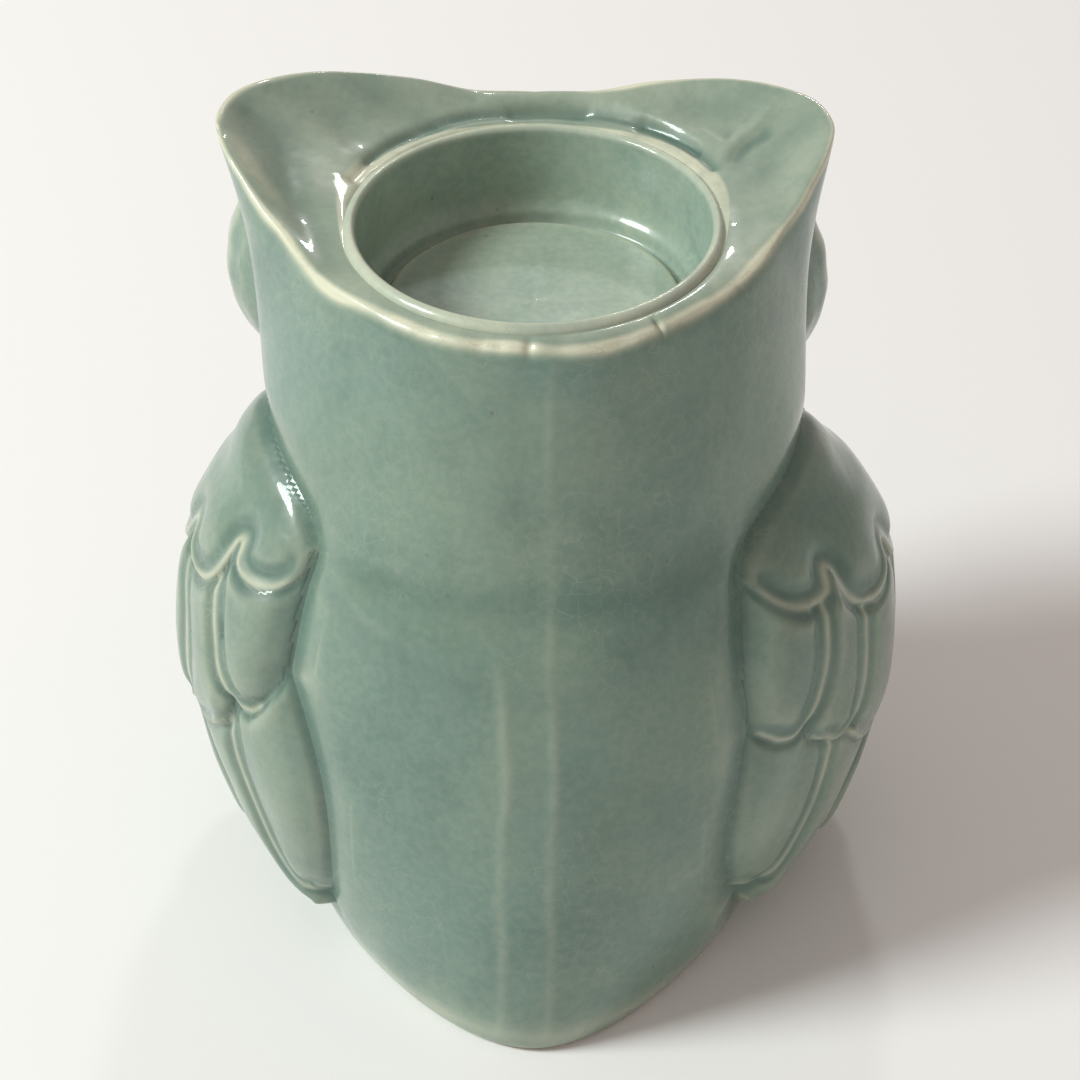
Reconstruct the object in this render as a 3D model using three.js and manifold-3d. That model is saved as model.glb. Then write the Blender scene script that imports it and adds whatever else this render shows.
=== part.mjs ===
// Ceramic tealight holder in the shape of an owl, in the clay pieces a maker forms and lutes together.
// Millimetres, +Z up, the owl faces -Y. The origin is on the table, at the middle of the footprint.
// Angles run round the body's axis: 0 is the tail (+Y), 90 is +X, 180 is the face (-Y).
import * as THREE from "three";
import { mergeVertices } from "three/addons/utils/BufferGeometryUtils.js";
import Module from "manifold-3d";

// ---- driving dimensions ----
const CUP_STEPS = 40; // facets round the cup
const GAP = 0.3; // luted seam between neighbouring pieces
const WALL = 4; // thickness of the press-moulded shell
const RIM_TOP = 95; // crest of the cup's rim
const CUP_FORWARD = 0.9; // the cup stands this far towards the face from the body's axis
const WELL_RADIUS = 20.9; // takes a 38 to 39 mm tealight
const CUP_OUTER_RADIUS = 22.4;
const WELL_FLOOR = 83.6; // where the tealight stands
const GROOVE_FLOOR = 82.4; // ring groove between the floor and the wall
const GROOVE_RADIUS = 19.3;
const CUP_UNDERSIDE = 79;
const LEDGE_RADIUS = 16.5; // opening in the shells under the cup
const BASE_THICKNESS = 4;
const VENT_RADIUS = 5;
const HEAD_START = 60; // the head drum's sides begin here, just under the neck crease
const CREASE_SOFTNESS = 1.2; // of the neck crease
const CROWN_DROP = 0.6; // the crown meets the cup this far below the rim
const VALLEY_DEPTH = 1.6; // of the hollow between the cup and the ear tips
const TAIL_REACH = 45.2; // from the body's axis
const TOE_REACH = 39; // from the body's axis
const EAR_ANGLE = 113;
const EAR_SPREAD = 22; // degrees either way

// What hand finishing left different on the two sides: +1 is +X, -1 is -X.
const SIDES = [
  {
    name: "left", sign: 1, earReach: 1.4, earRise: 2,
    wingDrop: 0, wingLift: 1, cheekDrop: 0, cheekOut: 1,
  },
  {
    name: "right", sign: -1, earReach: -1.6, earRise: 1.8,
    wingDrop: 2, wingLift: 1.8, cheekDrop: 3, cheekOut: -0.6,
  },
];

const wasm = await Module();
wasm.setup();

// ---- curves ----
// A smooth curve through [x, y] knots that never overshoots, flat beyond its ends.
function curve(knots) {
  const xs = knots.map((k) => k[0]);
  const ys = knots.map((k) => k[1]);
  const last = xs.length - 1;
  const secant = xs.slice(1).map((x, i) => (ys[i + 1] - ys[i]) / (x - xs[i]));
  const slope = xs.map((_, i) => {
    if (i === 0) return secant[0];
    if (i === last) return secant[last - 1];
    const product = secant[i - 1] * secant[i];
    return product <= 0 ? 0 : (2 * product) / (secant[i - 1] + secant[i]);
  });
  return (x) => {
    if (x <= xs[0]) return ys[0];
    if (x >= xs[last]) return ys[last];
    let i = 0;
    while (x > xs[i + 1]) i += 1;
    const h = xs[i + 1] - xs[i];
    const u = (x - xs[i]) / h;
    const a = ys[i] * (1 + 2 * u) + slope[i] * h * u;
    const b = ys[i + 1] * (3 - 2 * u) - slope[i + 1] * h * (1 - u);
    return a * (1 - u) ** 2 + b * u * u;
  };
}

const bell = (x, centre, spread) => Math.exp(-(((x - centre) / spread) ** 2));

// The larger of two radii, blended over the crease where they are equal.
function softMax(a, b, softness) {
  const h = Math.min(1, Math.max(0, 0.5 + (0.5 * (a - b)) / softness));
  return b + (a - b) * h + softness * h * (1 - h);
}

// ---- the body's outer surface ----
// Each curve below is by height, then by angle from the tail.
const torsoSide = curve([[0, 33.5], [3, 35.2], [15, 39.2], [32, 41.4], [45, 40.2],
  [56, 36], [63, 31.5], [70, 24], [76, 12]]);
const torsoBack = curve([[0, 45], [2, TAIL_REACH], [10, 44.6], [30, 41.2],
  [50, 35.6], [62, 30.6], [70, 24], [76, 12]]);
const torsoFront = curve([[0, 31], [3, 32.2], [25, 35], [45, 33], [60, 29], [70, 22], [76, 11]]);
const tailSquareness = curve([[0, 1.54], [20, 1.66], [45, 1.85], [63, 2]]);
const FRONT_SQUARENESS = 2.2;
const neckRadius = curve([[0, 30.3], [45, 31.2], [90, 33.6], [120, 33.4], [150, 30], [180, 28.5]]);
const crownRadius = curve([[0, 23.9], [48, 24.6], [62, 25.8], [75, 27.4], [86, 29.4], [97, 33.8], [105, 38],
  [111, 40.4], [117, 40.9], [124, 39.5], [134, 36.4], [150, 31.8], [165, 29.3], [180, 28.8]]);
const crownHeight = curve([[0, 94], [70, 94.2], [90, 95.5], [104, 98.9], [113, 100], [128, 100.2],
  [150, 99.2], [168, 97.4], [180, 97.2]]);

// Angles are in degrees from the tail, positive towards +X and up to 180 either way.
const sideOf = (angle) => (angle >= 0 ? SIDES[0] : SIDES[1]);
const earShare = (angle) => bell(Math.abs(angle), EAR_ANGLE + 8, EAR_SPREAD + 6);

function torsoRadius(angle, z) {
  const s = Math.abs(Math.sin(angle * THREE.MathUtils.DEG2RAD)) / torsoSide(z);
  const c = Math.cos(angle * THREE.MathUtils.DEG2RAD);
  const back = c >= 0;
  const power = back ? tailSquareness(z) : FRONT_SQUARENESS;
  return (s ** power + (Math.abs(c) / (back ? torsoBack(z) : torsoFront(z))) ** power) ** (-1 / power);
}

function edgeHeight(angle) {
  return crownHeight(Math.abs(angle)) + sideOf(angle).earRise * earShare(angle);
}

function headRadius(angle, z) {
  const a = Math.abs(angle);
  const rise = Math.min(1, Math.max(0, (z - HEAD_START) / (edgeHeight(angle) - HEAD_START)));
  const flare = rise ** (1.15 + 1.6 * bell(a, EAR_ANGLE, EAR_SPREAD));
  const crown = crownRadius(a) + sideOf(angle).earReach * earShare(angle);
  return neckRadius(a) + (crown - neckRadius(a)) * flare;
}

function bodyRadius(angle, z) {
  return softMax(torsoRadius(angle, z), z > 50 ? headRadius(angle, z) : 0, CREASE_SOFTNESS);
}

// The point at a radius and height, at an angle round the body's axis.
function polar(angle, radius, z) {
  const a = angle * THREE.MathUtils.DEG2RAD;
  return new THREE.Vector3(radius * Math.sin(a), radius * Math.cos(a), z);
}

// ---- closed meshes and solids ----
// Rings of equally many points, joined in order, with a centre point closing each end.
function ringsGeometry(first, rings, last) {
  const count = rings[0].length;
  const points = [first, ...rings.flat(), last];
  const faces = [];
  const at = (ring, i) => 1 + ring * count + (i % count);
  for (let i = 0; i < count; i += 1) {
    faces.push(0, at(0, i + 1), at(0, i));
    for (let r = 0; r + 1 < rings.length; r += 1) {
      faces.push(at(r, i), at(r, i + 1), at(r + 1, i + 1), at(r, i), at(r + 1, i + 1), at(r + 1, i));
    }
    faces.push(at(rings.length - 1, i), at(rings.length - 1, i + 1), points.length - 1);
  }
  const geometry = new THREE.BufferGeometry().setFromPoints(points);
  geometry.setIndex(faces);
  return geometry;
}

// A closed geometry as a solid, turned outside out where its faces pointed in.
function solid(geometry) {
  const bare = geometry.index ? geometry.toNonIndexed() : geometry.clone();
  bare.deleteAttribute("normal");
  bare.deleteAttribute("uv");
  const merged = mergeVertices(bare, 1e-4);
  const vertProperties = merged.attributes.position.array;
  const build = (triVerts) => new wasm.Manifold(new wasm.Mesh({ numProp: 3, vertProperties, triVerts }));
  const made = build(new Uint32Array(merged.index.array));
  return made.volume() > 0 ? made : build(new Uint32Array(merged.index.array).reverse());
}

const joined = (solids) => solids.reduce((all, one) => all.add(one));
const without = (body, cutters) => cutters.reduce((left, cutter) => left.subtract(cutter), body);

// The largest separate body, without the slivers that a cut can leave beside it.
function largest(body) {
  return body.decompose().reduce((best, one) => (one.volume() > best.volume() ? one : best));
}

function block(low, high) {
  const size = new THREE.Vector3().subVectors(high, low);
  const geometry = new THREE.BoxGeometry(size.x, size.y, size.z);
  geometry.translate((low.x + high.x) / 2, (low.y + high.y) / 2, (low.z + high.z) / 2);
  return solid(geometry);
}

// A [radius, height] profile turned round the cup's axis.
function turned(profile) {
  const points = profile.map(([r, z]) => new THREE.Vector2(r, z));
  const geometry = new THREE.LatheGeometry(points, CUP_STEPS).rotateX(Math.PI / 2);
  return solid(geometry.translate(0, -CUP_FORWARD, 0));
}

const FAR = 200;
const HALF_SPACE = {
  1: block(new THREE.Vector3(GAP / 2, -FAR, -FAR), new THREE.Vector3(FAR, FAR, FAR)),
  "-1": block(new THREE.Vector3(-FAR, -FAR, -FAR), new THREE.Vector3(-GAP / 2, FAR, FAR)),
};
const BELOW_TABLE = block(new THREE.Vector3(-FAR, -FAR, -FAR), new THREE.Vector3(FAR, FAR, 0));

// ---- body ----
const ROUND_STEPS = 54;
const RISE_STEPS = 16;
const angles = Array.from({ length: ROUND_STEPS }, (_, i) => -180 + (360 * (i + 0.5)) / ROUND_STEPS);
const innerAngles = angles.filter((_, i) => i % 2 === 0);

// The whole outside of the owl, grown outwards by a margin, with the sloping crown round the cup.
function bodySolid(margin) {
  const rings = [];
  for (let i = 0; i <= RISE_STEPS; i += 1) {
    const share = i / RISE_STEPS;
    rings.push(angles.map((a) => {
      const z = share * edgeHeight(a);
      return polar(a, bodyRadius(a, z) + margin, z + margin * (2 * share - 1));
    }));
  }
  const crownFoot = RIM_TOP - CROWN_DROP;
  for (const inward of [0.08, 0.45, 0.9]) {
    rings.push(angles.map((a) => {
      const edge = bodyRadius(a, edgeHeight(a));
      const width = edge - CUP_OUTER_RADIUS;
      const hollow = VALLEY_DEPTH * Math.min(1, width / 12) * Math.sin(Math.PI * inward);
      const z = edgeHeight(a) + (crownFoot - edgeHeight(a)) * inward - hollow;
      return polar(a, edge - width * inward, z + margin);
    }));
  }
  const foot = new THREE.Vector3(0, 0, -margin);
  return solid(ringsGeometry(foot, rings, new THREE.Vector3(0, 0, crownFoot + margin)));
}

// The hollow inside, open underneath, closing in below the cup to leave the ledge that carries it.
function hollowSolid() {
  const closed = CUP_UNDERSIDE - 2;
  const heights = [-1, 0, 8, 20, 34, 48, 60, 68, 74, closed];
  const rings = heights.map((z) => innerAngles.map((a) => {
    const closing = Math.max(0, (z - HEAD_START) / (closed - HEAD_START)) ** 1.5;
    const wide = bodyRadius(a, Math.max(z, 0)) - WALL;
    return polar(a, wide + (LEDGE_RADIUS - wide) * closing, z);
  }));
  const top = CUP_UNDERSIDE + 1;
  rings.push(innerAngles.map((a) => polar(a, LEDGE_RADIUS, top)));
  return solid(ringsGeometry(new THREE.Vector3(0, 0, -1), rings, new THREE.Vector3(0, 0, top)));
}

const body = bodySolid(0);
const bodyWithSeam = bodySolid(GAP);

function shell(side) {
  const seat = CUP_UNDERSIDE - GAP;
  const radius = CUP_OUTER_RADIUS + GAP;
  const socket = turned([[0, seat], [radius, seat], [radius, FAR], [0, FAR]]);
  return largest(without(body, [hollowSolid(), socket]).intersect(HALF_SPACE[side.sign]));
}

// ---- candle cup ----
function cup() {
  const beadRadius = (CUP_OUTER_RADIUS - WELL_RADIUS) / 2;
  const steps = 4;
  const bead = Array.from({ length: steps + 1 }, (_, i) => {
    const turn = (Math.PI * i) / steps;
    return [WELL_RADIUS + beadRadius * (1 + Math.cos(turn)), RIM_TOP - beadRadius * (1 - Math.sin(turn))];
  });
  return turned([
    [GROOVE_RADIUS - 1, CUP_UNDERSIDE],
    [CUP_OUTER_RADIUS, CUP_UNDERSIDE],
    ...bead,
    [WELL_RADIUS, GROOVE_FLOOR + 3],
    [WELL_RADIUS - 0.5, GROOVE_FLOOR + 1],
    [GROOVE_RADIUS, GROOVE_FLOOR],
    [GROOVE_RADIUS - 1, GROOVE_FLOOR - 0.3],
    [GROOVE_RADIUS - 1, CUP_UNDERSIDE],
  ]);
}

function cupFloor() {
  const soft = 0.8;
  const radius = GROOVE_RADIUS - 1 - GAP;
  return turned([
    [0, CUP_UNDERSIDE],
    [radius, CUP_UNDERSIDE],
    [radius, WELL_FLOOR - soft],
    [radius - 0.3 * soft, WELL_FLOOR - 0.3 * soft],
    [radius - soft, WELL_FLOOR],
    [0, WELL_FLOOR],
  ]);
}

// ---- base ----
function basePlate() {
  const outline = (z) => innerAngles.map((a) => polar(a, bodyRadius(a, 0) - WALL - GAP, z));
  const top = BASE_THICKNESS;
  const rings = [outline(0), outline(top)];
  const plate = ringsGeometry(new THREE.Vector3(), rings, new THREE.Vector3(0, 0, top));
  const vent = new THREE.CylinderGeometry(VENT_RADIUS, VENT_RADIUS, 4 * top, 24).rotateX(Math.PI / 2);
  return solid(plate).subtract(solid(vent));
}

// ---- wings ----
const MM_PER_DEGREE = 0.72; // along the side of the body
const FEATHER_ROUNDNESS = 0.83; // 1 is an ellipse, less is squarer
const ROOT_DEPTH = 2; // feathers start this far inside the body and are cut back to it
const wingFullness = curve([[50, 0.3], [85, 1], [105, 1], [125, 0.5]]); // by angle from the tail

// One feather as a domed pillow laid on the body, from its root to its tip, standing further out at its side.
function feather(side, { root, tip, width, edge, crown }, margin) {
  const across = new THREE.Vector2((tip[0] - root[0]) * MM_PER_DEGREE, tip[1] - root[1]);
  const length = across.length() / 2 + margin;
  const along = across.normalize();
  const half = width / 2 + margin;
  const power = (v) => Math.sign(v) * Math.abs(v) ** FEATHER_ROUNDNESS;
  const middle = [(root[0] + tip[0]) / 2, (root[1] + tip[1]) / 2 - side.wingDrop];
  const place = (turn, share, offset) => {
    const l = share * length * power(Math.cos(turn));
    const w = share * half * power(Math.sin(turn));
    const a = middle[0] + (l * along.x - w * along.y) / MM_PER_DEGREE;
    const z = middle[1] + l * along.y + w * along.x;
    const lift = offset > 0 ? side.wingLift * wingFullness(a) : 0;
    return polar(a * side.sign, bodyRadius(a * side.sign, Math.max(z, 0)) + offset + lift, z);
  };
  const steps = 16;
  const turns = Array.from({ length: steps }, (_, i) => (2 * Math.PI * (i + 0.5)) / steps);
  const levels = [[0.5, -ROOT_DEPTH], [1, -ROOT_DEPTH], [1, edge + margin],
    [0.86, edge + 0.62 * crown + margin], [0.5, edge + 0.95 * crown + margin]];
  const rings = levels.map(([share, offset]) => turns.map((turn) => place(turn, share, offset)));
  return solid(ringsGeometry(place(0, 0, -ROOT_DEPTH), rings, place(0, 0, edge + crown + margin)));
}

// Roots and tips are [angle from the tail, height]; width, edge and crown are in mm.
const SHOULDER = [
  { root: [90, 67.8], tip: [91, 49], width: 37, edge: 1.8, crown: 4 },
  { root: [82, 63.5], tip: [53.5, 55.8], width: 10, edge: 3, crown: 1.6 },
  { root: [82, 66], tip: [75, 48.4], width: 13.5, edge: 3.4, crown: 1.9 },
  { root: [95, 64], tip: [96, 43.6], width: 14.5, edge: 3.4, crown: 1.9 },
  { root: [106, 63], tip: [116, 42.6], width: 14, edge: 3.1, crown: 1.8 },
];
const SECONDARIES = [
  { root: [64, 60], tip: [65.5, 34], width: 17, edge: 2.2, crown: 1.6 },
  { root: [86, 56], tip: [84, 24.5], width: 13.8, edge: 2.9, crown: 1.8 },
  { root: [103, 54], tip: [101, 22.5], width: 13.2, edge: 2.6, crown: 1.7 },
  { root: [116, 52], tip: [116, 25.5], width: 12.5, edge: 2.2, crown: 1.6 },
];
const PRIMARIES = [
  { root: [62, 50], tip: [56, 4], width: 23, edge: 1.3, crown: 1.9 },
  { root: [83, 38], tip: [69.5, 3], width: 14.5, edge: 1.6, crown: 1.7 },
  { root: [100, 36], tip: [87, 7.5], width: 13.5, edge: 1.5, crown: 1.6 },
  { root: [114, 34], tip: [104, 13], width: 12, edge: 1.2, crown: 1.5 },
];

const tier = (side, feathers, margin) => joined(feathers.map((one) => feather(side, one, margin)));

function wing(side) {
  const cap = tier(side, SHOULDER, 0);
  const capRoom = tier(side, SHOULDER, GAP);
  const secondaries = tier(side, SECONDARIES, 0);
  const secondariesRoom = tier(side, SECONDARIES, GAP);
  const primaries = tier(side, PRIMARIES, 0);
  return {
    shoulder: largest(without(cap, [bodyWithSeam])),
    secondaries: largest(without(secondaries, [bodyWithSeam, capRoom])),
    primaries: largest(without(primaries, [bodyWithSeam, capRoom, secondariesRoom, BELOW_TABLE])),
  };
}

// ---- face ----
const FACE = { x: 19.8, y: -25.6, z: 77, radius: 19.4, yaw: 24, eyeRadius: 7 };
const DISH = 1; // height of the dish's floor along the disc's axis
const BEAK = { y: -33.5, z: 75, width: 10, depth: 11, length: 19 };

// Places a piece whose axis is +Y so that it points forwards and out of one side of the face.
function onFace(side, geometry) {
  geometry.rotateX(Math.PI);
  geometry.rotateZ(side.sign * FACE.yaw * THREE.MathUtils.DEG2RAD);
  geometry.translate(side.sign * (FACE.x + side.cheekOut), FACE.y, FACE.z - side.cheekDrop);
  return solid(geometry);
}

function lathe(profile, segments) {
  return new THREE.LatheGeometry(profile.map(([r, h]) => new THREE.Vector2(r, h)), segments);
}

// The dished ruff round one eye, deep enough behind to reach the head all round.
function facialDisc(side) {
  const r = FACE.radius;
  const profile = [[0, -10], [r - 3.6, -10], [r - 0.6, -4], [r, 0], [r - 0.8, 2.2], [r - 2.6, 3],
    [r - 4.6, 2.4], [FACE.eyeRadius + 1, DISH], [0, DISH]];
  return onFace(side, lathe(profile, 32));
}

function eye(side) {
  const base = DISH + GAP;
  const steps = 5;
  const dome = Array.from({ length: steps }, (_, i) => {
    const turn = (Math.PI / 2) * (i / steps);
    return [FACE.eyeRadius * Math.cos(turn), base + 0.8 + 3.2 * Math.sin(turn)];
  });
  return onFace(side, lathe([[0, base], [FACE.eyeRadius - 0.4, base], ...dome, [0, base + 4]], 24));
}

// A hooked beak: an upright egg, narrowed and bent back towards its tip.
function beak(margin) {
  const egg = new THREE.SphereGeometry(1, 16, 12).rotateX(Math.PI / 2);
  const position = egg.attributes.position;
  for (let i = 0; i < position.count; i += 1) {
    const z = position.getZ(i);
    const narrow = z < 0 ? 1 + 0.5 * z : 1 - 0.2 * z;
    const x = (BEAK.width / 2 + margin) * position.getX(i) * narrow;
    const y = (BEAK.depth / 2 + margin) * position.getY(i) * narrow + 2 * z * z;
    position.setXYZ(i, x, y, (BEAK.length / 2 + margin) * z);
  }
  egg.translate(0, BEAK.y, BEAK.z);
  return solid(egg);
}

function face() {
  const pieces = { beak: largest(without(beak(0), [bodyWithSeam])) };
  const beakRoom = beak(GAP);
  for (const side of SIDES) {
    const disc = without(facialDisc(side), [bodyWithSeam, beakRoom]).intersect(HALF_SPACE[side.sign]);
    pieces["facial_disc_" + side.name] = largest(disc);
    pieces["eye_" + side.name] = eye(side);
  }
  return pieces;
}

// ---- feet ----
const FOOT_X = 12.5;
const TOES = [-6.4, 0, 6.4]; // across the foot
const TOE_HALF_WIDTH = 3.5;
const TOE_HALF_HEIGHT = 7;

function foot(side) {
  const toes = TOES.map((across) => {
    const reach = TOE_REACH - 0.16 * Math.abs(across);
    const toe = new THREE.SphereGeometry(1, 14, 12).rotateX(Math.PI / 2);
    toe.scale(TOE_HALF_WIDTH, 10, TOE_HALF_HEIGHT);
    toe.translate(side.sign * FOOT_X + across, 10 - reach, 1.4);
    return solid(toe);
  });
  return largest(without(joined(toes), [bodyWithSeam, BELOW_TABLE]));
}

// ---- assembly ----
const GLAZE = { color: 0x9dbfae, roughness: 0.18, metalness: 0 };
const GLAZE_POOLED = { color: 0x7fa79a, roughness: 0.16, metalness: 0 };
const BISQUE = { color: 0xd9cdb4, roughness: 0.85, metalness: 0 };

const owl = new THREE.Group();
owl.name = "owl_tealight_holder";

function addPiece(name, made, finish) {
  const { vertProperties, triVerts } = made.getMesh();
  const geometry = new THREE.BufferGeometry();
  geometry.setAttribute("position", new THREE.BufferAttribute(new Float32Array(vertProperties), 3));
  geometry.setIndex(new THREE.BufferAttribute(new Uint32Array(triVerts), 1));
  geometry.computeVertexNormals();
  const mesh = new THREE.Mesh(geometry, new THREE.MeshStandardMaterial(finish));
  mesh.name = name;
  owl.add(mesh);
}

for (const side of SIDES) {
  addPiece("shell_" + side.name, shell(side), GLAZE);
  const { shoulder, secondaries, primaries } = wing(side);
  addPiece("wing_shoulder_" + side.name, shoulder, GLAZE);
  addPiece("wing_secondaries_" + side.name, secondaries, GLAZE);
  addPiece("wing_primaries_" + side.name, primaries, GLAZE);
  addPiece("foot_" + side.name, foot(side), GLAZE);
}
for (const [name, made] of Object.entries(face())) addPiece(name, made, GLAZE);
addPiece("candle_cup", cup(), GLAZE_POOLED);
addPiece("cup_floor", cupFloor(), GLAZE_POOLED);
addPiece("base_plate", basePlate(), BISQUE);

// The footprint's middle comes to the origin.
const bounds = new THREE.Box3().setFromObject(owl);
owl.position.y = -(bounds.min.y + bounds.max.y) / 2;

export default owl;
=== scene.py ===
"""Ceramic tealight holder in the shape of an owl, in a running celadon glaze, on a pale studio floor.

The pieces stand where the frame's solids stand, in metres, +Z up. The owl faces -Y.
Shapes are worked out in millimetres from the body's axis: x across, t towards the tail, z up.
Angles are in degrees round that axis: 0 is the tail, 90 is +X, 180 is the face.
"""

import math

import bmesh
import bpy
import numpy as np
from mathutils import Matrix, Vector


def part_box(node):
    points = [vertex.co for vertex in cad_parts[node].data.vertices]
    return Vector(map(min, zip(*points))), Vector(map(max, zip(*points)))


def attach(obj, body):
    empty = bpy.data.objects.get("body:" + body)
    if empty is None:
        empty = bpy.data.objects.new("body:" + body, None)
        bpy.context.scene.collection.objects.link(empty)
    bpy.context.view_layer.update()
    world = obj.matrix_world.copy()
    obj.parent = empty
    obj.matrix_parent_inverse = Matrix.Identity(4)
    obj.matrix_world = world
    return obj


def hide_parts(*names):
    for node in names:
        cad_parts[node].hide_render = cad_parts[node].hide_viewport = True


bl_info = {
    "name": "Owl Tealight Holder",
    "version": (1, 0, 0),
    "blender": (4, 5, 0),
    "location": "View3D > Sidebar > Owl",
    "description": "Makes a celadon owl that holds a tealight, piece by piece, and its studio",
    "category": "Add Mesh",
}

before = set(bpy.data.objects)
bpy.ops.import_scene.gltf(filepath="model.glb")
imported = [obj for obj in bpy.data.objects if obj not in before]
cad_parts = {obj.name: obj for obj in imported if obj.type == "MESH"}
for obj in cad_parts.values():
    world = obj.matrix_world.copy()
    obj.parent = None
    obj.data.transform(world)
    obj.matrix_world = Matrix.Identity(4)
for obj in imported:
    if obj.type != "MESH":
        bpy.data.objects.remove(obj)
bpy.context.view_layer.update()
MM = 0.001

CUP_LOW, CUP_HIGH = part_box("candle_cup")
CUP_FORWARD = 0.9
AXIS_Y = (CUP_LOW.y + CUP_HIGH.y) / 2 / MM + CUP_FORWARD
RIM_TOP = CUP_HIGH.z / MM
CUP_SEAT = CUP_LOW.z / MM
COLLAR_RADIUS = 21.6
LEDGE_RADIUS = 16.5
WALL = 4.0

SIDES = {"left": 1, "right": -1}


# ---- curves and fields ----
def curve(*knots):
    """A smooth curve through (x, y) knots that never overshoots, flat beyond its ends."""
    x, y = np.array(knots, float).T
    secant = np.diff(y) / np.diff(x)
    product = secant[:-1] * secant[1:]
    total = secant[:-1] + secant[1:]
    inner = np.where(product > 0, 2 * product / np.where(product > 0, total, 1), 0)
    slope = np.concatenate([secant[:1], inner, secant[-1:]])

    def at(value):
        v = np.clip(value, x[0], x[-1])
        i = np.clip(np.searchsorted(x, v, side="right") - 1, 0, len(x) - 2)
        h = x[i + 1] - x[i]
        u = (v - x[i]) / h
        start = y[i] * (1 + 2 * u) + slope[i] * h * u
        end = y[i + 1] * (3 - 2 * u) - slope[i + 1] * h * (1 - u)
        return start * (1 - u) ** 2 + end * u * u

    return at


def bell(value, centre, spread):
    return np.exp(-(((value - centre) / spread) ** 2))


def ease(value, low, high):
    """0 up to low, 1 from high on, and a smooth step between."""
    u = np.clip((value - low) / (high - low), 0, 1)
    return u * u * (3 - 2 * u)


def soft_max(a, b, softness):
    h = np.clip(0.5 + 0.5 * (a - b) / softness, 0, 1)
    return b + (a - b) * h + softness * h * (1 - h)


def blurred(values, spread, axis, around=False):
    """Values smoothed along one axis of a grid, by a spread in grid steps."""
    reach = int(3 * spread) + 1
    kernel = np.exp(-0.5 * (np.arange(-reach, reach + 1) / spread) ** 2)
    kernel /= kernel.sum()
    pads = [(reach, reach) if a == axis else (0, 0) for a in range(values.ndim)]
    if around:
        wide = np.pad(values, pads, mode="wrap")
    else:
        wide = np.pad(values, pads, mode="reflect", reflect_type="odd")
    count = values.shape[axis]
    parts = (k * wide.take(range(i, i + count), axis) for i, k in enumerate(kernel))
    return sum(parts)


def distance_to_line(points, line, closed=False):
    """How far each point is from a line of straight runs, in the plane."""
    ends = np.array(line, float)
    starts = ends if closed else ends[:-1]
    stops = np.roll(ends, -1, 0) if closed else ends[1:]
    nearest = np.full(len(points), np.inf)
    for a, b in zip(starts, stops):
        run = b - a
        share = np.clip(((points - a) @ run) / max(run @ run, 1e-12), 0, 1)
        gap = points - a - share[:, None] * run
        nearest = np.minimum(nearest, np.einsum("ij,ij->i", gap, gap))
    return np.sqrt(nearest)


def inside(points, outline):
    """Whether each point is inside a closed outline, in the plane."""
    odd = np.zeros(len(points), bool)
    ends = np.array(outline, float)
    for a, b in zip(ends, np.roll(ends, -1, 0)):
        crosses = (a[1] > points[:, 1]) != (b[1] > points[:, 1])
        rise = b[1] - a[1] if abs(b[1] - a[1]) > 1e-12 else 1e-12
        odd ^= crosses & (points[:, 0] < a[0] + (points[:, 1] - a[1]) * (b[0] - a[0]) / rise)
    return odd


def smooth_line(knots, steps=6):
    """A rounded line through its knots, as closely spaced points."""
    p = np.array(knots, float)
    p = np.vstack([2 * p[0] - p[1], p, 2 * p[-1] - p[-2]])
    u = (np.arange(steps) / steps)[:, None]
    runs = []
    for a, b, c, d in zip(p[:-3], p[1:-2], p[2:-1], p[3:]):
        runs.append(0.5 * (2 * b + (c - a) * u + (2 * a - 5 * b + 4 * c - d) * u**2
                           + (3 * b - a - 3 * c + d) * u**3))
    return np.vstack(runs + [p[-2:-1]])


# ---- the body's outer surface ----
TORSO_SIDE = curve((0, 33.5), (3, 35.2), (15, 39.2), (32, 41.4), (45, 40.2), (56, 36), (63, 31.5),
                   (70, 24), (76, 12))
TORSO_BACK = curve((0, 45), (2, 45.2), (10, 44.6), (30, 41.2), (50, 35.6), (62, 30.6), (70, 24),
                   (76, 12))
TORSO_FRONT = curve((0, 31), (3, 32.2), (25, 35), (45, 33), (60, 29), (70, 22), (76, 11))
TAIL_SQUARENESS = curve((0, 1.54), (20, 1.66), (45, 1.85), (63, 2))
FRONT_SQUARENESS = 2.2
NECK_RADIUS = curve((0, 30.3), (45, 31.2), (90, 33.6), (120, 33.4), (150, 30), (180, 28.5))
CROWN_RADIUS = curve((0, 23.9), (48, 24.6), (62, 25.8), (75, 27.4), (86, 29.4), (97, 33.8), (105, 38),
                     (111, 40.4), (117, 40.9), (124, 39.5), (134, 36.4), (150, 31.8), (165, 29.3),
                     (180, 28.8))
CROWN_HEIGHT = curve((0, 94), (70, 94.2), (90, 95.5), (104, 98.9), (113, 100), (128, 100.2),
                     (150, 99.2), (168, 97.4), (180, 97.2))
HEAD_START = 60
EAR_ANGLE = 113
EAR_SPREAD = 22
EAR_REACH = {1: 1.4, -1: -1.6}
EAR_RISE = {1: 2.0, -1: 1.8}
CREASE_SOFTNESS = curve((0, 3.2), (40, 3), (75, 1.4), (180, 1.2))
CROWN_DROP = 0.18
VALLEY_DEPTH = 1.2


def by_side(angle, values):
    return np.where(angle >= 0, values[1], values[-1])


def ear_share(angle):
    return bell(np.abs(angle), EAR_ANGLE + 8, EAR_SPREAD + 6)


def torso_radius(angle, z):
    turn = np.radians(angle)
    back = np.cos(turn) >= 0
    power = np.where(back, TAIL_SQUARENESS(z), FRONT_SQUARENESS)
    across = np.abs(np.sin(turn)) / TORSO_SIDE(z)
    along = np.abs(np.cos(turn)) / np.where(back, TORSO_BACK(z), TORSO_FRONT(z))
    return (across**power + along**power) ** (-1 / power)


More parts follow.
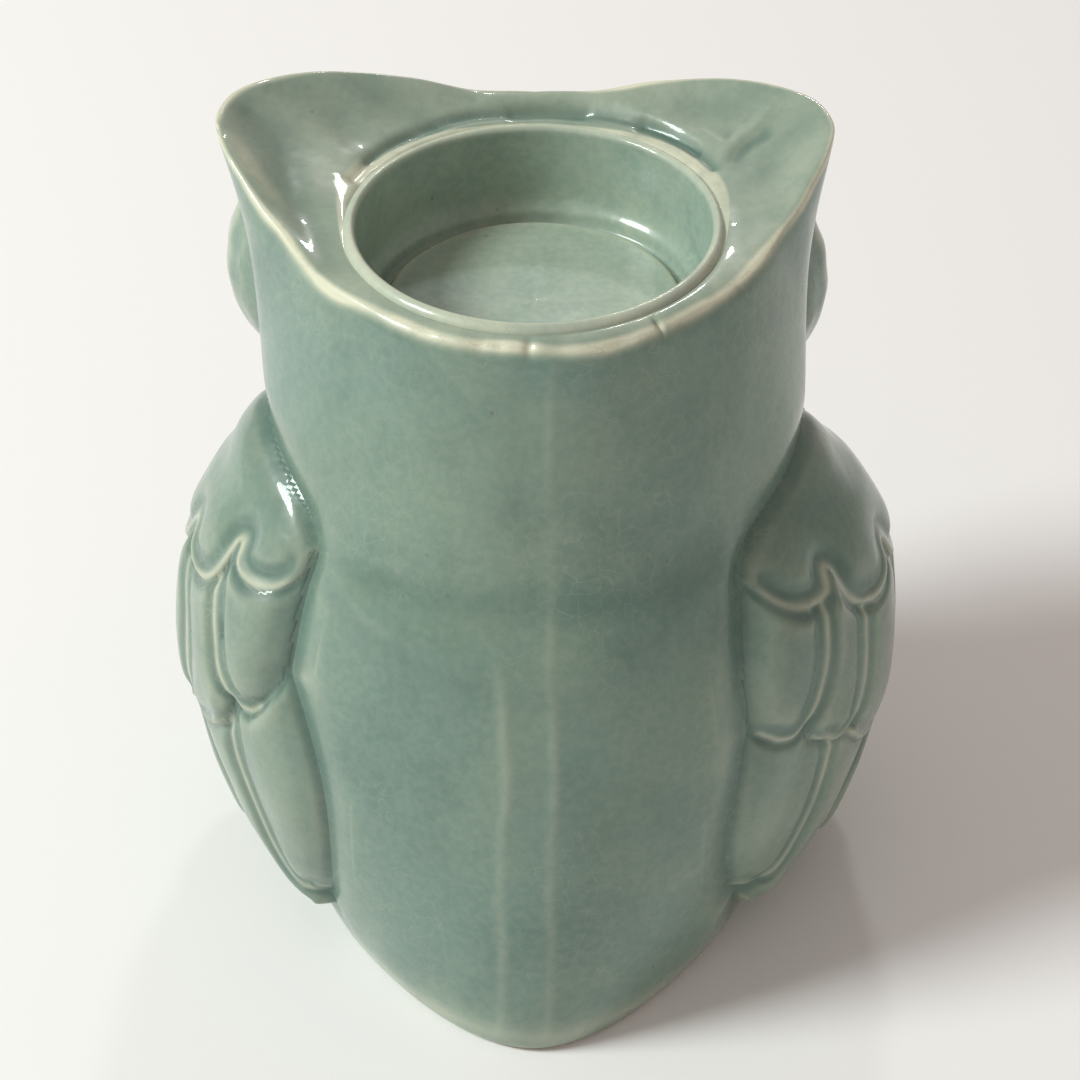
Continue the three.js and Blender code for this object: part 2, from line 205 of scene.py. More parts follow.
def edge_height(angle):
    return CROWN_HEIGHT(np.abs(angle)) + by_side(angle, EAR_RISE) * ear_share(angle)


def head_radius(angle, z):
    a = np.abs(angle)
    rise = np.clip((z - HEAD_START) / (edge_height(angle) - HEAD_START), 0, 1)
    flare = rise ** (1.15 + 1.6 * bell(a, EAR_ANGLE, EAR_SPREAD))
    crown = CROWN_RADIUS(a) + by_side(angle, EAR_REACH) * ear_share(angle)
    return NECK_RADIUS(a) + (crown - NECK_RADIUS(a)) * flare


def body_radius(angle, z):
    head = np.where(z > 50, head_radius(angle, z), 0)
    return soft_max(torso_radius(angle, z), head, CREASE_SOFTNESS(np.abs(angle)))


def collar_radius(angle):
    """Where the round socket for the cup is, from the body's axis."""
    c = -CUP_FORWARD * np.cos(np.radians(angle))
    return c + np.sqrt(COLLAR_RADIUS**2 - CUP_FORWARD**2 + c * c)


def polar(angle, radius, z):
    turn = np.radians(angle)
    return np.stack([radius * np.sin(turn), radius * np.cos(turn), z + 0 * angle], -1)


def normals_of(points, around=False):
    """Outward directions on a grid of points, by rows up and columns round."""
    up = np.gradient(points, axis=0)
    if around:
        across = (np.roll(points, -1, 1) - np.roll(points, 1, 1)) / 2
    else:
        across = np.gradient(points, axis=1)
    out = np.cross(up, across)
    out /= np.maximum(np.linalg.norm(out, axis=-1, keepdims=True), 1e-9)
    return out


# ---- glaze thickness ----
def glaze_flow(edge):
    """How far glaze has run thin on sharp edges, and pooled in hollows, from 0 to 1 each.

    edge is how far a point stands out of its smoothed surroundings, in mm."""
    return ease(edge, 0.03, 0.3), ease(-edge, 0.02, 0.24)


def grid_edge(points, out, steps, around=False):
    """How far each point of a grid stands out of its surroundings; steps are grid steps per mm."""
    total = 0
    for spread, weight in ((0.7, 1.0), (2.0, 0.3)):
        soft = blurred(points, spread * steps[0], 0)
        soft = blurred(soft, spread * steps[1], 1, around)
        total = total + weight * np.einsum("ijk,ijk->ij", points - soft, out)
    return total


def mesh_edge(mesh):
    """The same as grid_edge for any mesh in metres, from its neighbouring vertices."""
    count = len(mesh.vertices)
    points = np.empty(count * 3, np.float32)
    mesh.vertices.foreach_get("co", points)
    points = points.reshape(-1, 3).astype(float) / MM
    pairs = np.empty(len(mesh.edges) * 2, np.int32)
    mesh.edges.foreach_get("vertices", pairs)
    a, b = pairs.reshape(-1, 2).T
    degree = np.maximum(np.bincount(np.r_[a, b], minlength=count), 1)[:, None]
    out = np.empty(count * 3, np.float32)
    mesh.vertex_normals.foreach_get("vector", out)
    out = out.reshape(-1, 3)
    span = np.linalg.norm(points[a] - points[b], axis=1).mean()
    total = np.zeros(count)
    for spread, weight in ((0.7, 1.0), (2.0, 0.3)):
        soft = points.copy()
        for _ in range(int(np.clip((spread / (0.7 * span)) ** 2, 1, 160))):
            near = np.stack([np.bincount(np.r_[a, b], np.r_[soft[b, k], soft[a, k]], count)
                             for k in range(3)], 1)
            soft = 0.5 * soft + 0.5 * near / degree
        total += weight * np.einsum("ij,ij->i", points - soft, out)
    return total


# ---- meshes ----
def placed(points):
    """Millimetres from the body's axis as metres in the frame."""
    return (np.asarray(points) + (0, AXIS_Y, 0)) * MM


def set_layer(mesh, name, values, kind="FLOAT"):
    layer = mesh.attributes.get(name) or mesh.attributes.new(name, kind, "POINT")
    field = "vector" if kind == "FLOAT_VECTOR" else "value"
    layer.data.foreach_set(field, np.asarray(values, np.float32).ravel())


def grid_mesh(name, points, layers):
    """A mesh from a bmesh grid, laid on a grid of points, with one value of each layer per point."""
    rows, columns = points.shape[:2]
    bm = bmesh.new()
    bmesh.ops.create_grid(bm, x_segments=columns - 1, y_segments=rows - 1, size=1)
    mesh = bpy.data.meshes.new(name)
    bm.to_mesh(mesh)
    bm.free()
    flat = np.empty(len(mesh.vertices) * 3, np.float32)
    mesh.vertices.foreach_get("co", flat)
    flat = flat.reshape(-1, 3)
    order = np.lexsort((flat[:, 0].round(5), flat[:, 1].round(5)))
    rank = np.empty(len(order), int)
    rank[order] = np.arange(len(order))
    mesh.vertices.foreach_set("co", placed(points).reshape(-1, 3)[rank].astype(np.float32).ravel())
    for layer, values in layers.items():
        kind = "FLOAT_VECTOR" if values.ndim == 3 else "FLOAT"
        set_layer(mesh, layer, values.reshape(rows * columns, -1)[rank], kind)
    return mesh


def finish_mesh(bm, mesh, sharp=50):
    """Closes seams, points the faces outwards and shades the mesh smooth up to an angle."""
    bmesh.ops.remove_doubles(bm, verts=bm.verts, dist=1e-7)
    bmesh.ops.recalc_face_normals(bm, faces=bm.faces)
    bm.to_mesh(mesh)
    bm.free()
    mesh.shade_smooth()
    mesh.set_sharp_from_angle(angle=math.radians(sharp))


def piece(name, mesh, material):
    """Adds a finished mesh that stands for the frame's node of the same name."""
    made = bpy.data.objects.new(name + "_piece", mesh)
    bpy.context.scene.collection.objects.link(made)
    mesh.materials.append(material)
    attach(made, "root")
    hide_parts(name)
    return made


def worn(mesh, thin_bias=0.0):
    """Gives a small piece its glaze thickness."""
    thin, pooled = glaze_flow(mesh_edge(mesh) + thin_bias)
    set_layer(mesh, "thin_glaze_and_highlight", thin)
    set_layer(mesh, "pooled_glaze", pooled)


# ---- wings ----
MM_PER_DEGREE = 0.72

# Each feather has its rear side and its front side, from root to tip, as (angle, height).
FEATHERS = {
    1: {
        "primaries": [
            ([(102, 44), (100, 30), (96, 19), (91, 13)],
             [(124, 40), (122, 28), (116, 18), (108, 12), (99, 10)]),
            ([(84, 44), (83, 28), (79, 17), (74, 9), (70, 5)],
             [(108, 42), (106, 26), (101, 15), (92, 8), (82, 4)]),
            ([(61, 46), (57, 30), (51, 14), (47, 6.5)],
             [(89, 44), (87.5, 32), (85, 22.5), (81, 15.5), (75.5, 10.3), (69, 6.8), (60, 4.6), (52, 4.5),
              (48, 5.4)]),
            ([(57.6, 52), (53.4, 46), (49, 41), (45, 35), (42.6, 29), (42.4, 22), (44, 14.6), (46.4, 10)],
             [(68, 47), (66, 38), (64.8, 31), (64.4, 27), (62.9, 22.8), (60.4, 18.2), (58.2, 13.4),
              (55.4, 9.8), (51.8, 8.2), (48.6, 8.3)]),
        ],
        "secondaries": [
            ([(103, 58), (103, 42), (102, 33)], [(125, 56), (124, 40), (119, 31), (113, 29)]),
            ([(90, 60), (90, 40), (89, 30)], [(112, 60), (112, 38), (108, 28), (100, 25.5)]),
            ([(76, 62), (76, 40), (76, 30)], [(99, 62), (99, 40), (95.5, 29), (90, 24.6), (84, 24.4)]),
            ([(64, 63), (64, 44), (63.4, 37), (65, 32.4)],
             [(87.6, 63), (86, 55), (84.4, 49), (82.2, 43), (81.2, 37), (80.4, 31.8), (78, 28.6),
              (73.8, 27.9), (69.8, 29.4)]),
            ([(54.4, 61), (53.2, 52.4), (52.6, 47.6), (53.2, 43.4), (55, 40), (57, 38)],
             [(79, 63), (75.6, 57), (72.4, 52.6), (70.4, 48.6), (68.6, 45), (67.3, 41.2), (65, 38.4),
              (61.8, 36.8), (58.6, 36.8)]),
        ],
        "shoulder": {
            "top": [(54, 58.6), (54.8, 60.6), (57, 62.4), (62, 64.4), (68, 65.8), (74, 66.8), (82, 68),
                    (90, 68.4), (100, 67.4), (110, 64), (117, 58.6), (121.4, 53), (121.6, 50)],
            "scallops": [
                [(54, 58.6), (54.8, 57.2), (56.6, 56), (59.2, 55), (62.7, 54.5), (66, 54.7), (68.7, 55.6),
                 (70.2, 57.4)],
                [(70.2, 57.4), (70.6, 54.6), (71.6, 52.4), (73.6, 50.7), (76.8, 49.7), (80.6, 49.5),
                 (84.2, 50.2), (87, 52.4)],
                [(87, 52.4), (89, 48.6), (93, 46.4), (98, 46.2), (102.6, 48), (105, 51)],
                [(105, 51), (108, 47), (113, 45.4), (118, 46.6), (121.6, 50)],
            ],
        },
    },
    -1: {
        "primaries": [
            ([(100, 42), (98, 28), (93, 17), (88, 11)],
             [(122, 38), (120, 26), (114, 16), (106, 10), (97, 8)]),
            ([(81, 42), (80, 26), (76, 15), (70, 8), (66, 4.8)],
             [(106, 40), (104, 24), (98, 13), (89, 7), (80, 4)]),
            ([(57, 44), (54, 30), (49.4, 16), (45, 9)],
             [(86, 42), (85, 30), (82.6, 20), (78.6, 14), (73, 9.4), (66, 5.8), (57, 4.4), (50, 5.4),
              (46, 7.6)]),
            ([(47.4, 53), (45, 45), (43, 39.6), (41.1, 34.4), (39.8, 29.6), (39, 23), (39.8, 17.4),
              (41.6, 13.6)],
             [(66, 46), (63.4, 37), (62.2, 30), (61.7, 25.6), (60.4, 21.2), (58.1, 17.4), (55.4, 14.2),
              (51.4, 12), (47, 11.7), (43.8, 12.4)]),
        ],
        "secondaries": [
            ([(99, 56), (99, 40), (98, 31)], [(122, 54), (121, 38), (116, 29), (110, 27)]),
            ([(84, 58), (84, 38), (84, 28)], [(108, 58), (108, 36), (103, 26), (96, 23.5)]),
            ([(65, 60), (65, 40), (65, 31)],
             [(93, 60), (92.4, 40), (88, 29), (82.4, 24.4), (76, 24), (71, 26)]),
            ([(55, 60), (54, 44), (53.6, 38.6), (55, 35)],
             [(77, 60), (74.6, 53), (72.2, 47), (71, 41.5), (69.8, 37), (67.6, 33.4), (64.4, 31.7),
              (60.4, 32), (57.8, 33.8)]),
            ([(48.6, 59.4), (44.6, 52), (42.8, 46), (43, 41), (44.6, 38.8)],
             [(68, 61), (64.4, 55.4), (61.8, 50.6), (60.3, 47), (58.5, 43.2), (56.3, 40.2), (53.6, 38),
              (50.6, 37), (47.6, 37.4)]),
        ],
        "shoulder": {
            "top": [(48.4, 58.6), (50, 60.6), (53.6, 62.2), (59, 63.4), (65, 64.2), (72, 65), (80, 65.8),
                    (88, 66), (98, 65), (108, 61.4), (115, 56.4), (119.4, 51), (119.6, 48)],
            "scallops": [
                [(48.4, 58.6), (50.2, 57), (52, 55.5), (54.8, 54), (58, 53), (61.5, 52.7), (64.6, 53.3),
                 (66.4, 55.2)],
                [(66.4, 55.2), (66.8, 52), (69.2, 49.4), (72.8, 47.9), (77.5, 47.3), (82, 48.2),
                 (84.8, 50.6)],
                [(84.8, 50.6), (87, 46.6), (91.6, 44.4), (97, 44.4), (101.4, 46.4), (103.6, 49.4)],
                [(103.6, 49.4), (107, 45.2), (112, 43.4), (117, 44.6), (119.6, 48)],
            ],
        },
    },
}
TIERS = ("primaries", "secondaries", "shoulder")
# How far each tier stands off the body, by angle, in mm.
LIFT = {
    "primaries": curve((42, 0.9), (60, 1.9), (85, 3.4)),
    "secondaries": curve((42, 1.6), (60, 2.8), (85, 4.1)),
    "shoulder": curve((48, 3.2), (58, 4.0), (72, 5.4), (86, 6.2), (125, 6.0)),
}
# The right wing is fuller than the left one.
FULLER = {1: 0.0, -1: 0.8}
# How gently a wing's rear edge rises out of the body.
REAR_SLOPE = 2.8
# The hollow that runs round each wing, and how high the wing's clay laps onto the body beside it.
VALLEY = 0.75
VALLEY_SPREAD = 3.0
SEAM_COVER = 0.22
FAR_OUTSIDE = -99.0


def chart(pairs):
    return np.array(pairs, float) * (MM_PER_DEGREE, 1)


def joined_line(parts):
    return np.vstack([smooth_line(part)[(0 if i == 0 else 1):] for i, part in enumerate(parts)])


def feather_shapes(points, sides):
    """Signed distance inside a feather's outline, and distances from its rear and front sides."""
    rear, front = (smooth_line(chart(side), 4) for side in sides)
    outline = np.vstack([rear, front[::-1]])
    near = ((points > outline.min(0) - 5) & (points < outline.max(0) + 5)).all(1)
    edge, from_rear, from_front = (np.full(len(points), sign * FAR_OUTSIDE) for sign in (1, -1, -1))
    spots = points[near]
    from_rear[near] = distance_to_line(spots, rear)
    from_front[near] = distance_to_line(spots, np.vstack([front, rear[-1:]]))
    closest = np.minimum(from_rear, from_front)[near]
    edge[near] = np.where(inside(spots, outline), closest, -distance_to_line(spots, outline, True))
    return edge, from_rear, from_front


def cap_shape(points, cap):
    """Distances from the shoulder cap's top line and from its hem, and signed distance inside it."""
    top = smooth_line(chart(cap["top"]))
    hem = joined_line([chart(part) for part in cap["scallops"]])
    outline = np.vstack([hem, top[::-1]])
    from_top = distance_to_line(points, top)
    from_hem = distance_to_line(points, hem)
    past_edge = distance_to_line(points, outline, True)
    edge = np.where(inside(points, outline), np.minimum(from_top, from_hem), -past_edge)
    return from_top, from_hem, edge


def cap_height(points, cap, full, rim_height, from_top, from_hem):
    """The domed shoulder cap, with a rolled hem and a nick between neighbouring scallops."""
    dome = full * (1 - np.exp(-np.clip(from_top, 0, None) / 5.2))
    dome -= 0.9 * (1 - ease(from_hem, 0, 6.5)) * ease(from_top, 0, 6)
    rim = rim_height * 1.15 * bell(from_hem, 0.65, 0.6)
    trough = -0.4 * bell(from_hem, 2.1, 1.1)
    height = dome + (rim + trough) * ease(from_top, 0.5, 3)
    for scallop in cap["scallops"][1:]:
        foot = chart(scallop[0])
        cut = distance_to_line(points, [foot, foot + (0.3, 3.5)])
        fade = 1 - ease(points[:, 1], foot[1] - 1, foot[1] + 4.5)
        height -= 0.4 * bell(cut, 0, 1.3) * fade
    return height


def blade_height(pad, share, from_rear, from_front, rim_height, rearmost):
    """One feather's crowned blade, with a rim and a trough along its front side."""
    crown = 0.75 * np.sin(np.pi * np.clip(share, 0, 1) ** 0.6) ** 0.5 + 0.4 * bell(share, 0.42, 0.24)
    rim = rim_height * bell(from_front, 0.55, 0.45)
    trough = -0.4 * bell(from_front, 1.8, 0.95)
    blade = pad + crown + rim + trough + 0.3
    if rearmost:
        return blade * (1 - np.exp(-np.clip(from_rear, 0, None) / REAR_SLOPE))
    tucked = np.minimum(blade, pad + 0.1 + 0.6 * from_rear)
    return np.where(from_rear < from_front, tucked, blade)


def wing_relief(points, side, form):
    """For points on the chart: height over the bare body, tier, distance inside the wing, and how pale
    and how dark each feather's shape leaves the glaze."""
    feathers = FEATHERS[side]
    rim_height = form.rim_height / MM
    groove_depth = form.groove_depth / MM
    height = np.full(len(points), -VALLEY)
    tier = np.zeros(len(points), int)
    pale, dark = np.zeros(len(points)), np.zeros(len(points))
    shapes = {name: [feather_shapes(points, sides) for sides in feathers[name]] for name in TIERS[:2]}
    from_top, from_hem, cap_edge = cap_shape(points, feathers["shoulder"])
    within = np.maximum.reduce([cap_edge] + [shape[0] for name in TIERS[:2] for shape in shapes[name]])
    turn = points[:, 0] / MM_PER_DEGREE
    for level, name in enumerate(TIERS[:2]):
        full = LIFT[name](turn) + FULLER[side] * ease(turn, 50, 80)
        pad = full * np.sin(np.pi / 2 * np.clip(within / 3.2, 0, 1))
        for number, (edge, from_rear, from_front) in enumerate(shapes[name], 1):
            share = from_rear / np.maximum(from_rear + from_front, 1e-6)
            blade = blade_height(pad, share, from_rear, from_front, rim_height, number == len(shapes[name]))
            part = ease(edge, -0.15, 0.6)
            pale = pale * (1 - part) + part * (0.15 * bell(share, 0.32, 0.2) * ease(edge, 0.6, 3)
                                               + 0.68 * bell(from_front, 0.5, 0.42))
            dark = dark * (1 - part) + part * 0.7 * bell(from_front, 2.0, 1.0)
            dark = np.maximum(dark, bell(edge, -0.2, 0.6) * (within > 0))
            height = height * (1 - part) + blade * part
            height -= groove_depth * bell(edge, -0.15, 0.55) * ease(within, 0, 1.2)
            tier = np.where(edge > 0, level, tier)
    full = LIFT["shoulder"](turn) + FULLER[side] * ease(turn, 60, 85)
    cap = cap_height(points, feathers["shoulder"], full, rim_height, from_top, from_hem)
    part = ease(cap_edge, -0.15, 0.7)
    pale = pale * (1 - part) + part * 0.8 * bell(from_hem, 0.6, 0.5) * ease(from_top, 0.5, 3)
    dark = dark * (1 - part) + part * (0.6 * bell(from_hem, 2.4, 1.3) * ease(from_top, 1, 4)
                                       + 0.7 * bell(from_top, 0, 2.6))
    dark = np.maximum(dark, bell(cap_edge, -0.3, 0.8) * (within > 0))
    height = height * (1 - part) + cap * part
    height -= groove_depth * 1.2 * bell(cap_edge, -0.2, 0.6) * ease(within, 0, 1.2)
    tier = np.where(cap_edge > 0, 2, tier)
    outside = np.clip(-within, 0, None)
    valley = -VALLEY * bell(outside, 0, VALLEY_SPREAD)
    height = np.where(within < 0, valley + SEAM_COVER - 1.1 * outside, height)
    dark = np.maximum(dark, np.maximum(0.7 * bell(within, 0, 1.4), 0.12))
    return height, tier, within, pale, dark


# The stretch of the body that a wing's sheet covers, in degrees and mm, the depth of its roots under
# the body's surface, and how far it laps past the wing's outline.
WING_ANGLES = (36, 128.01)
WING_HEIGHTS = (1.2, 73.6)
WING_ROOT_DEPTH = 2.0
WING_OVERLAP = 0.8


def wing_pieces(side_name, form, material):
    """The three tiers of feathers on one side, cut from one sheet so that they meet in the grooves."""
    side = SIDES[side_name]
    angle = np.arange(*WING_ANGLES, form.wing_step)
    z = np.arange(*WING_HEIGHTS, form.wing_step * MM_PER_DEGREE)
    angles, heights = np.meshgrid(angle, z)
    points = np.stack([angles.ravel() * MM_PER_DEGREE, heights.ravel()], -1)
    relief, tier, within, pale, dark = (v.reshape(angles.shape) for v in wing_relief(points, side, form))
    relief = blurred(blurred(relief, 0.95, 0), 0.95, 1)
    relief += 0.07 * np.sin(angles / 3.1 + 1) * np.sin(heights / 2.3) * ease(within, 1, 4)
    skin = polar(side * angles, body_radius(side * angles, heights), heights)
    out = normals_of(skin) * side
    out[..., 2] = 0
    out /= np.linalg.norm(out, axis=-1, keepdims=True)
    surface = skin + out * relief[..., None]
    inner = skin - out * WING_ROOT_DEPTH
    steps = 1 / (form.wing_step * MM_PER_DEGREE)
    facing = normals_of(surface) * side
    thin, pooled = glaze_flow(grid_edge(surface, facing, (steps, steps)))
    thin = np.maximum(0.25 * thin, pale)
    pooled = np.maximum(0.7 * pooled, dark)
    layers = {"thin_glaze_and_highlight": thin, "pooled_glaze": pooled, "tier": tier.astype(float), "reach": within,
              "inner": placed(inner)}
    sheet = grid_mesh("wing_sheet", surface, layers)
    for level, tier_name in enumerate(TIERS):
        bm = bmesh.new()
        bm.from_mesh(sheet)
        tier_layer = bm.verts.layers.float["tier"]
        reach_layer = bm.verts.layers.float["reach"]
        inner_layer = bm.verts.layers.float_vector["inner"]
        lost = []
        for face in bm.faces:
            corner = face.verts[0]
            beyond = min(v[reach_layer] for v in face.verts) < -WING_OVERLAP
            if round(corner[tier_layer]) != level or beyond:
                lost.append(face)
        bmesh.ops.delete(bm, geom=lost, context="FACES")
        made = bmesh.ops.extrude_face_region(bm, geom=bm.faces[:], use_keep_orig=True)
        for part in made["geom"]:
            if isinstance(part, bmesh.types.BMVert):
                part.co = part[inner_layer]
        name = f"wing_{tier_name}_{side_name}"
        mesh = bpy.data.meshes.new(name)
        finish_mesh(bm, mesh, 55)
        for layer in ("tier", "reach", "inner"):
            mesh.attributes.remove(mesh.attributes[layer])
        piece(name, mesh, material)
    bpy.data.meshes.remove(sheet)


# ---- body shells ----
# Soft ridges (+) and creases (-) on the crown: points as (x, t), height and half width in mm.
CROWN_LINES = [
    ([(21.4, -9.6), (18.4, -15.8), (13.4, -20.6), (8.4, -23.4), (4, -24.6), (-1.4, -25), (-7, -24),
      (-11, -22.3), (-15, -20), (-18.8, -16.4), (-21.4, -11.8)], -0.4, 0.8),
    ([(19.6, -13.6), (16, -18.4), (12, -21.6)], -0.25, 1.0),
    ([(2.4, -24.8), (-2.4, -24.9), (-6, -24.3)], -0.35, 0.9),
    ([(-13.4, -21), (-16.6, -18.8), (-19.6, -15.4)], -0.3, 0.9),
    ([(6, -26.4), (-1.4, -27.1), (-8.4, -26.2), (-13.6, -23.2), (-18.6, -19.6), (-22.6, -15)], 0.34, 1.1),
    ([(-22.9, -13.2), (-24.4, -15.4), (-26.2, -16.6), (-28.2, -18.6)], 0.28, 0.95),
    ([(-24.2, -12.2), (-25.6, -14), (-27.6, -15)], -0.16, 1.2),
    ([(-24.6, -15.4), (-25, -17)], 0.1, 1.0),
    ([(-24.6, -10), (-26, -6), (-26, -1.4), (-25, 3.4)], 0.16, 1.6),
    ([(34.2, -16.6), (30.2, -13.6), (28.6, -7), (26.2, 0.2), (23, 7.3)], -0.25, 2.2),
    ([(31, -23), (25, -21.5), (21.4, -17)], -0.16, 2.2),
    ([(24, -27), (19, -24), (14, -22.6)], -0.16, 1.8),
    ([(35, -21), (28, -18.4), (23, -14)], 0.16, 2.2),
    ([(-30, -22), (-25, -20.5), (-19, -22)], -0.16, 1.8),
    ([(-33, -15), (-28.6, -12.4), (-26.6, -8)], -0.16, 1.8),
]
# Small chips along the crown's outer edge: angle, depth and half width in mm.
EDGE_CHIPS = [(14.5, 0.35, 1.1), (9.6, 0.25, 0.9), (1.2, 0.4, 0.6), (-7, 0.25, 1.4), (-36, 0.5, 0.35),
              (108, 0.35, 0.6), (-25, 0.2, 1.6), (30, 0.15, 1.8)]
BREAST_ROWS = 7


def breast_relief(angle, z):
    """Rows of small overlapping breast feathers under the face, lowest row first."""
    across = (np.abs(angle) - 180) * np.sign(angle) * 0.62
    height = np.zeros(angle.shape)
    for row in range(BREAST_ROWS):
        foot = 10 + 6.2 * row
        shift = 0 if row % 2 else 3.6
        column = (across + shift + 3.6) % 7.2 - 3.6
        centre = across - column
        reach = np.sqrt((column / 3.9) ** 2 + ((z - foot - 6) / 6.2) ** 2)
        wide = 20 - 0.012 * (z - 34) ** 2
        part = ease(1 - reach, 0, 0.14) * ease(wide - np.abs(centre), -1, 1) * (z < foot + 9)
        blade = 0.15 + 0.45 * bell(reach, 0.86, 0.09) - 0.12 * bell(reach, 0.6, 0.15)
        height = height * (1 - part) + blade * part
        height -= 0.2 * bell(reach, 1.02, 0.05) * ease(wide - np.abs(centre), -1, 1) * (z < foot + 6)
    return height


# Share of a profile's length over which the crown's outer edge is rolled.
ROLL_REACH = 0.09
# Points along a profile's parts before it is sampled evenly, and after.
FOOT_STEPS, SIDE_STEPS, CROWN_STEPS, SOCKET_STEPS = 12, 300, 90, 40
PROFILE_STEPS = 640
# Rows of the body's grid: up the side, over the crest, across the crown, down the socket.
SIDE_ROWS, CREST_ROWS, CROWN_ROWS, SOCKET_ROWS = 146, 34, 52, 4
CREST_START, CREST_END = 0.035, 0.022
CUP_CLEARANCE = 0.3


def shell_profiles(angle, rounding):
    """Radius and height from the foot ring's inner edge, up the side, over the crown, down the socket.

    Also says where along each profile the crown's outer edge and the socket's mouth are, as shares
    of its length."""
    edge = edge_height(angle)
    share = np.linspace(0, 1, SIDE_STEPS)[:, None]
    side_z = share * edge
    side_r = body_radius(angle[None, :] + 0 * side_z, side_z)
    collar = collar_radius(angle)
    inward = np.linspace(0, 1, CROWN_STEPS)[1:, None]
    width = side_r[-1] - collar
    hollow = VALLEY_DEPTH * np.minimum(1, width / 12) * np.sin(np.pi * inward) ** 1.2
    crown_r = side_r[-1] - width * inward
    mouth = RIM_TOP - CROWN_DROP
    crown_z = edge + (mouth - edge) * inward - hollow
    down = np.linspace(0, 1, SOCKET_STEPS)[1:, None]
    wall_r = collar + 0 * down
    wall_z = mouth + (CUP_SEAT - CUP_CLEARANCE - mouth) * down + 0 * collar
    foot = np.linspace(0, 1, FOOT_STEPS)[:-1, None]
    foot_r = side_r[0] - WALL * (1 - foot)
    parts_r = np.vstack([foot_r, side_r, crown_r, wall_r])
    parts_z = np.vstack([0 * foot_r, side_z, crown_z, wall_z])
    run = np.hypot(np.diff(parts_r, axis=0), np.diff(parts_z, axis=0))
    along = np.vstack([np.zeros(len(angle)), np.cumsum(run, 0)])
    length = along[-1]
    crest = along[len(foot) + SIDE_STEPS - 1] / length
    corner = along[len(foot) + SIDE_STEPS + CROWN_STEPS - 2] / length
    samples = np.linspace(0, 1, PROFILE_STEPS)
    r, z = (np.stack([np.interp(samples, along[:, i] / length[i], part[:, i]) for i in range(len(angle))], 1)
            for part in (parts_r, parts_z))
    step = length.mean() / len(samples)
    rolled = ease(1 - np.abs(samples - crest[:, None]).T / ROLL_REACH, 0, 0.6)
    r, z = (blurred(v, 0.5 * rounding / step, 0) * (1 - rolled) + blurred(v, rounding / step, 0) * rolled
            for v in (r, z))
    return r, z, crest, corner


# How far the body stays below the wings that lie on it.
WING_BED = 0.9
# Length of a profile in mm, and the body's radius where the glaze is judged.
PROFILE_LENGTH = 132
GLAZE_RADIUS = 34
ROWS_PER_MM = 2.6


def body_grid(form):
    """The body before its relief, as a grid with rows up and columns round from -180.

    Gives the columns' angles, each point's radius, height and share of its profile, and the shares at
    the crown's outer edge and at the socket's mouth."""
    angle = np.linspace(-180, 180, 2 * form.shell_columns + 1)[:-1]
    r, z, crest, corner = shell_profiles(angle, form.edge_rounding / MM)
    r = blurred(r, 1.2, 1, True)
    z = blurred(z, 1.2, 1, True)
    r += (blurred(r, 7, 1, True) - r) * (1 - ease(np.abs(angle), 8, 30))
    roll = crest - CREST_START
    rows = [roll * (np.arange(SIDE_ROWS) / SIDE_ROWS)[:, None],
            roll + (crest + CREST_END - roll) * (np.arange(CREST_ROWS) / CREST_ROWS)[:, None]]
    reached = rows[-1][-1]
    rows.append(reached + (corner - reached) * ((np.arange(CROWN_ROWS) + 1) / CROWN_ROWS)[:, None])
    rows.append(corner + (1 - corner) * ((np.arange(SOCKET_ROWS) + 1) / SOCKET_ROWS)[:, None])
    share = np.vstack([row + 0 * angle for row in rows])
    place = share * (PROFILE_STEPS - 1)
    before = np.minimum(place.astype(int), PROFILE_STEPS - 2)
    part = place - before
    column = np.arange(len(angle))[None, :]
    r, z = (v[before, column] * (1 - part) + v[before + 1, column] * part for v in (r, z))
    return angle, r, z, share, crest, corner


def back_lines(x, z):
    """Two soft lines that wander down the back, and the shallow channel between them."""
    wander = 0.34 * np.sin(z / 9) + 0.26 * np.sin(z / 4.3 + 1) + 0.1 * np.sin(z / 1.7)
    low = 1 - ease(z, 50, 60)
    upper = (1 - 0.5 * ease(z, 56, 66)) * (0.8 + 0.2 * np.sin(z / 3.1))
    lines = 0.9 * low * bell(x, 3.9 + wander, 0.75) + upper * bell(x, -2.1 + 0.7 * wander, 0.7)
    return lines, bell(x, 0.8 + wander, 1.7)


def above_drape(x, z):
    """Height over the soft fold where the head's clay was smoothed down onto the back."""
    return z - (54 + 0.012 * x * x + 0.6 * np.sin(x / 4))


def neck_crease(angles, z, spread):
    gap = body_radius(angles, z) - head_radius(angles, z)
    return bell(gap, 0.9, spread) * ease(z, 55, 60)


def side_relief(form, angles, x, z, back):
    """Relief of the sides and back: lines, fold, hollow over the tail, hand marks and breast."""
    lines, channel = back_lines(x, z)
    fold = above_drape(x, z)
    relief = form.seam_height / MM * (1.2 * lines - 0.7 * channel) * back * (0.6 + 0.4 * np.sin(z / 7 + 2))
    relief += 0.12 * (ease(fold, -3, 0) - ease(fold, 0, 7)) * back
    relief -= 0.35 * bell(angles, 0, 9) * (1 - ease(z, 8, 30))
    relief += 0.13 * np.sin(np.radians(angles * 3 + 40)) * np.sin(z / 8.5 + 1)
    relief += 0.09 * np.sin(np.radians(angles * 7)) * np.sin(z / 5.2)
    return relief + breast_relief(angles, z) * (np.abs(angles) > 120) * (z < 56)


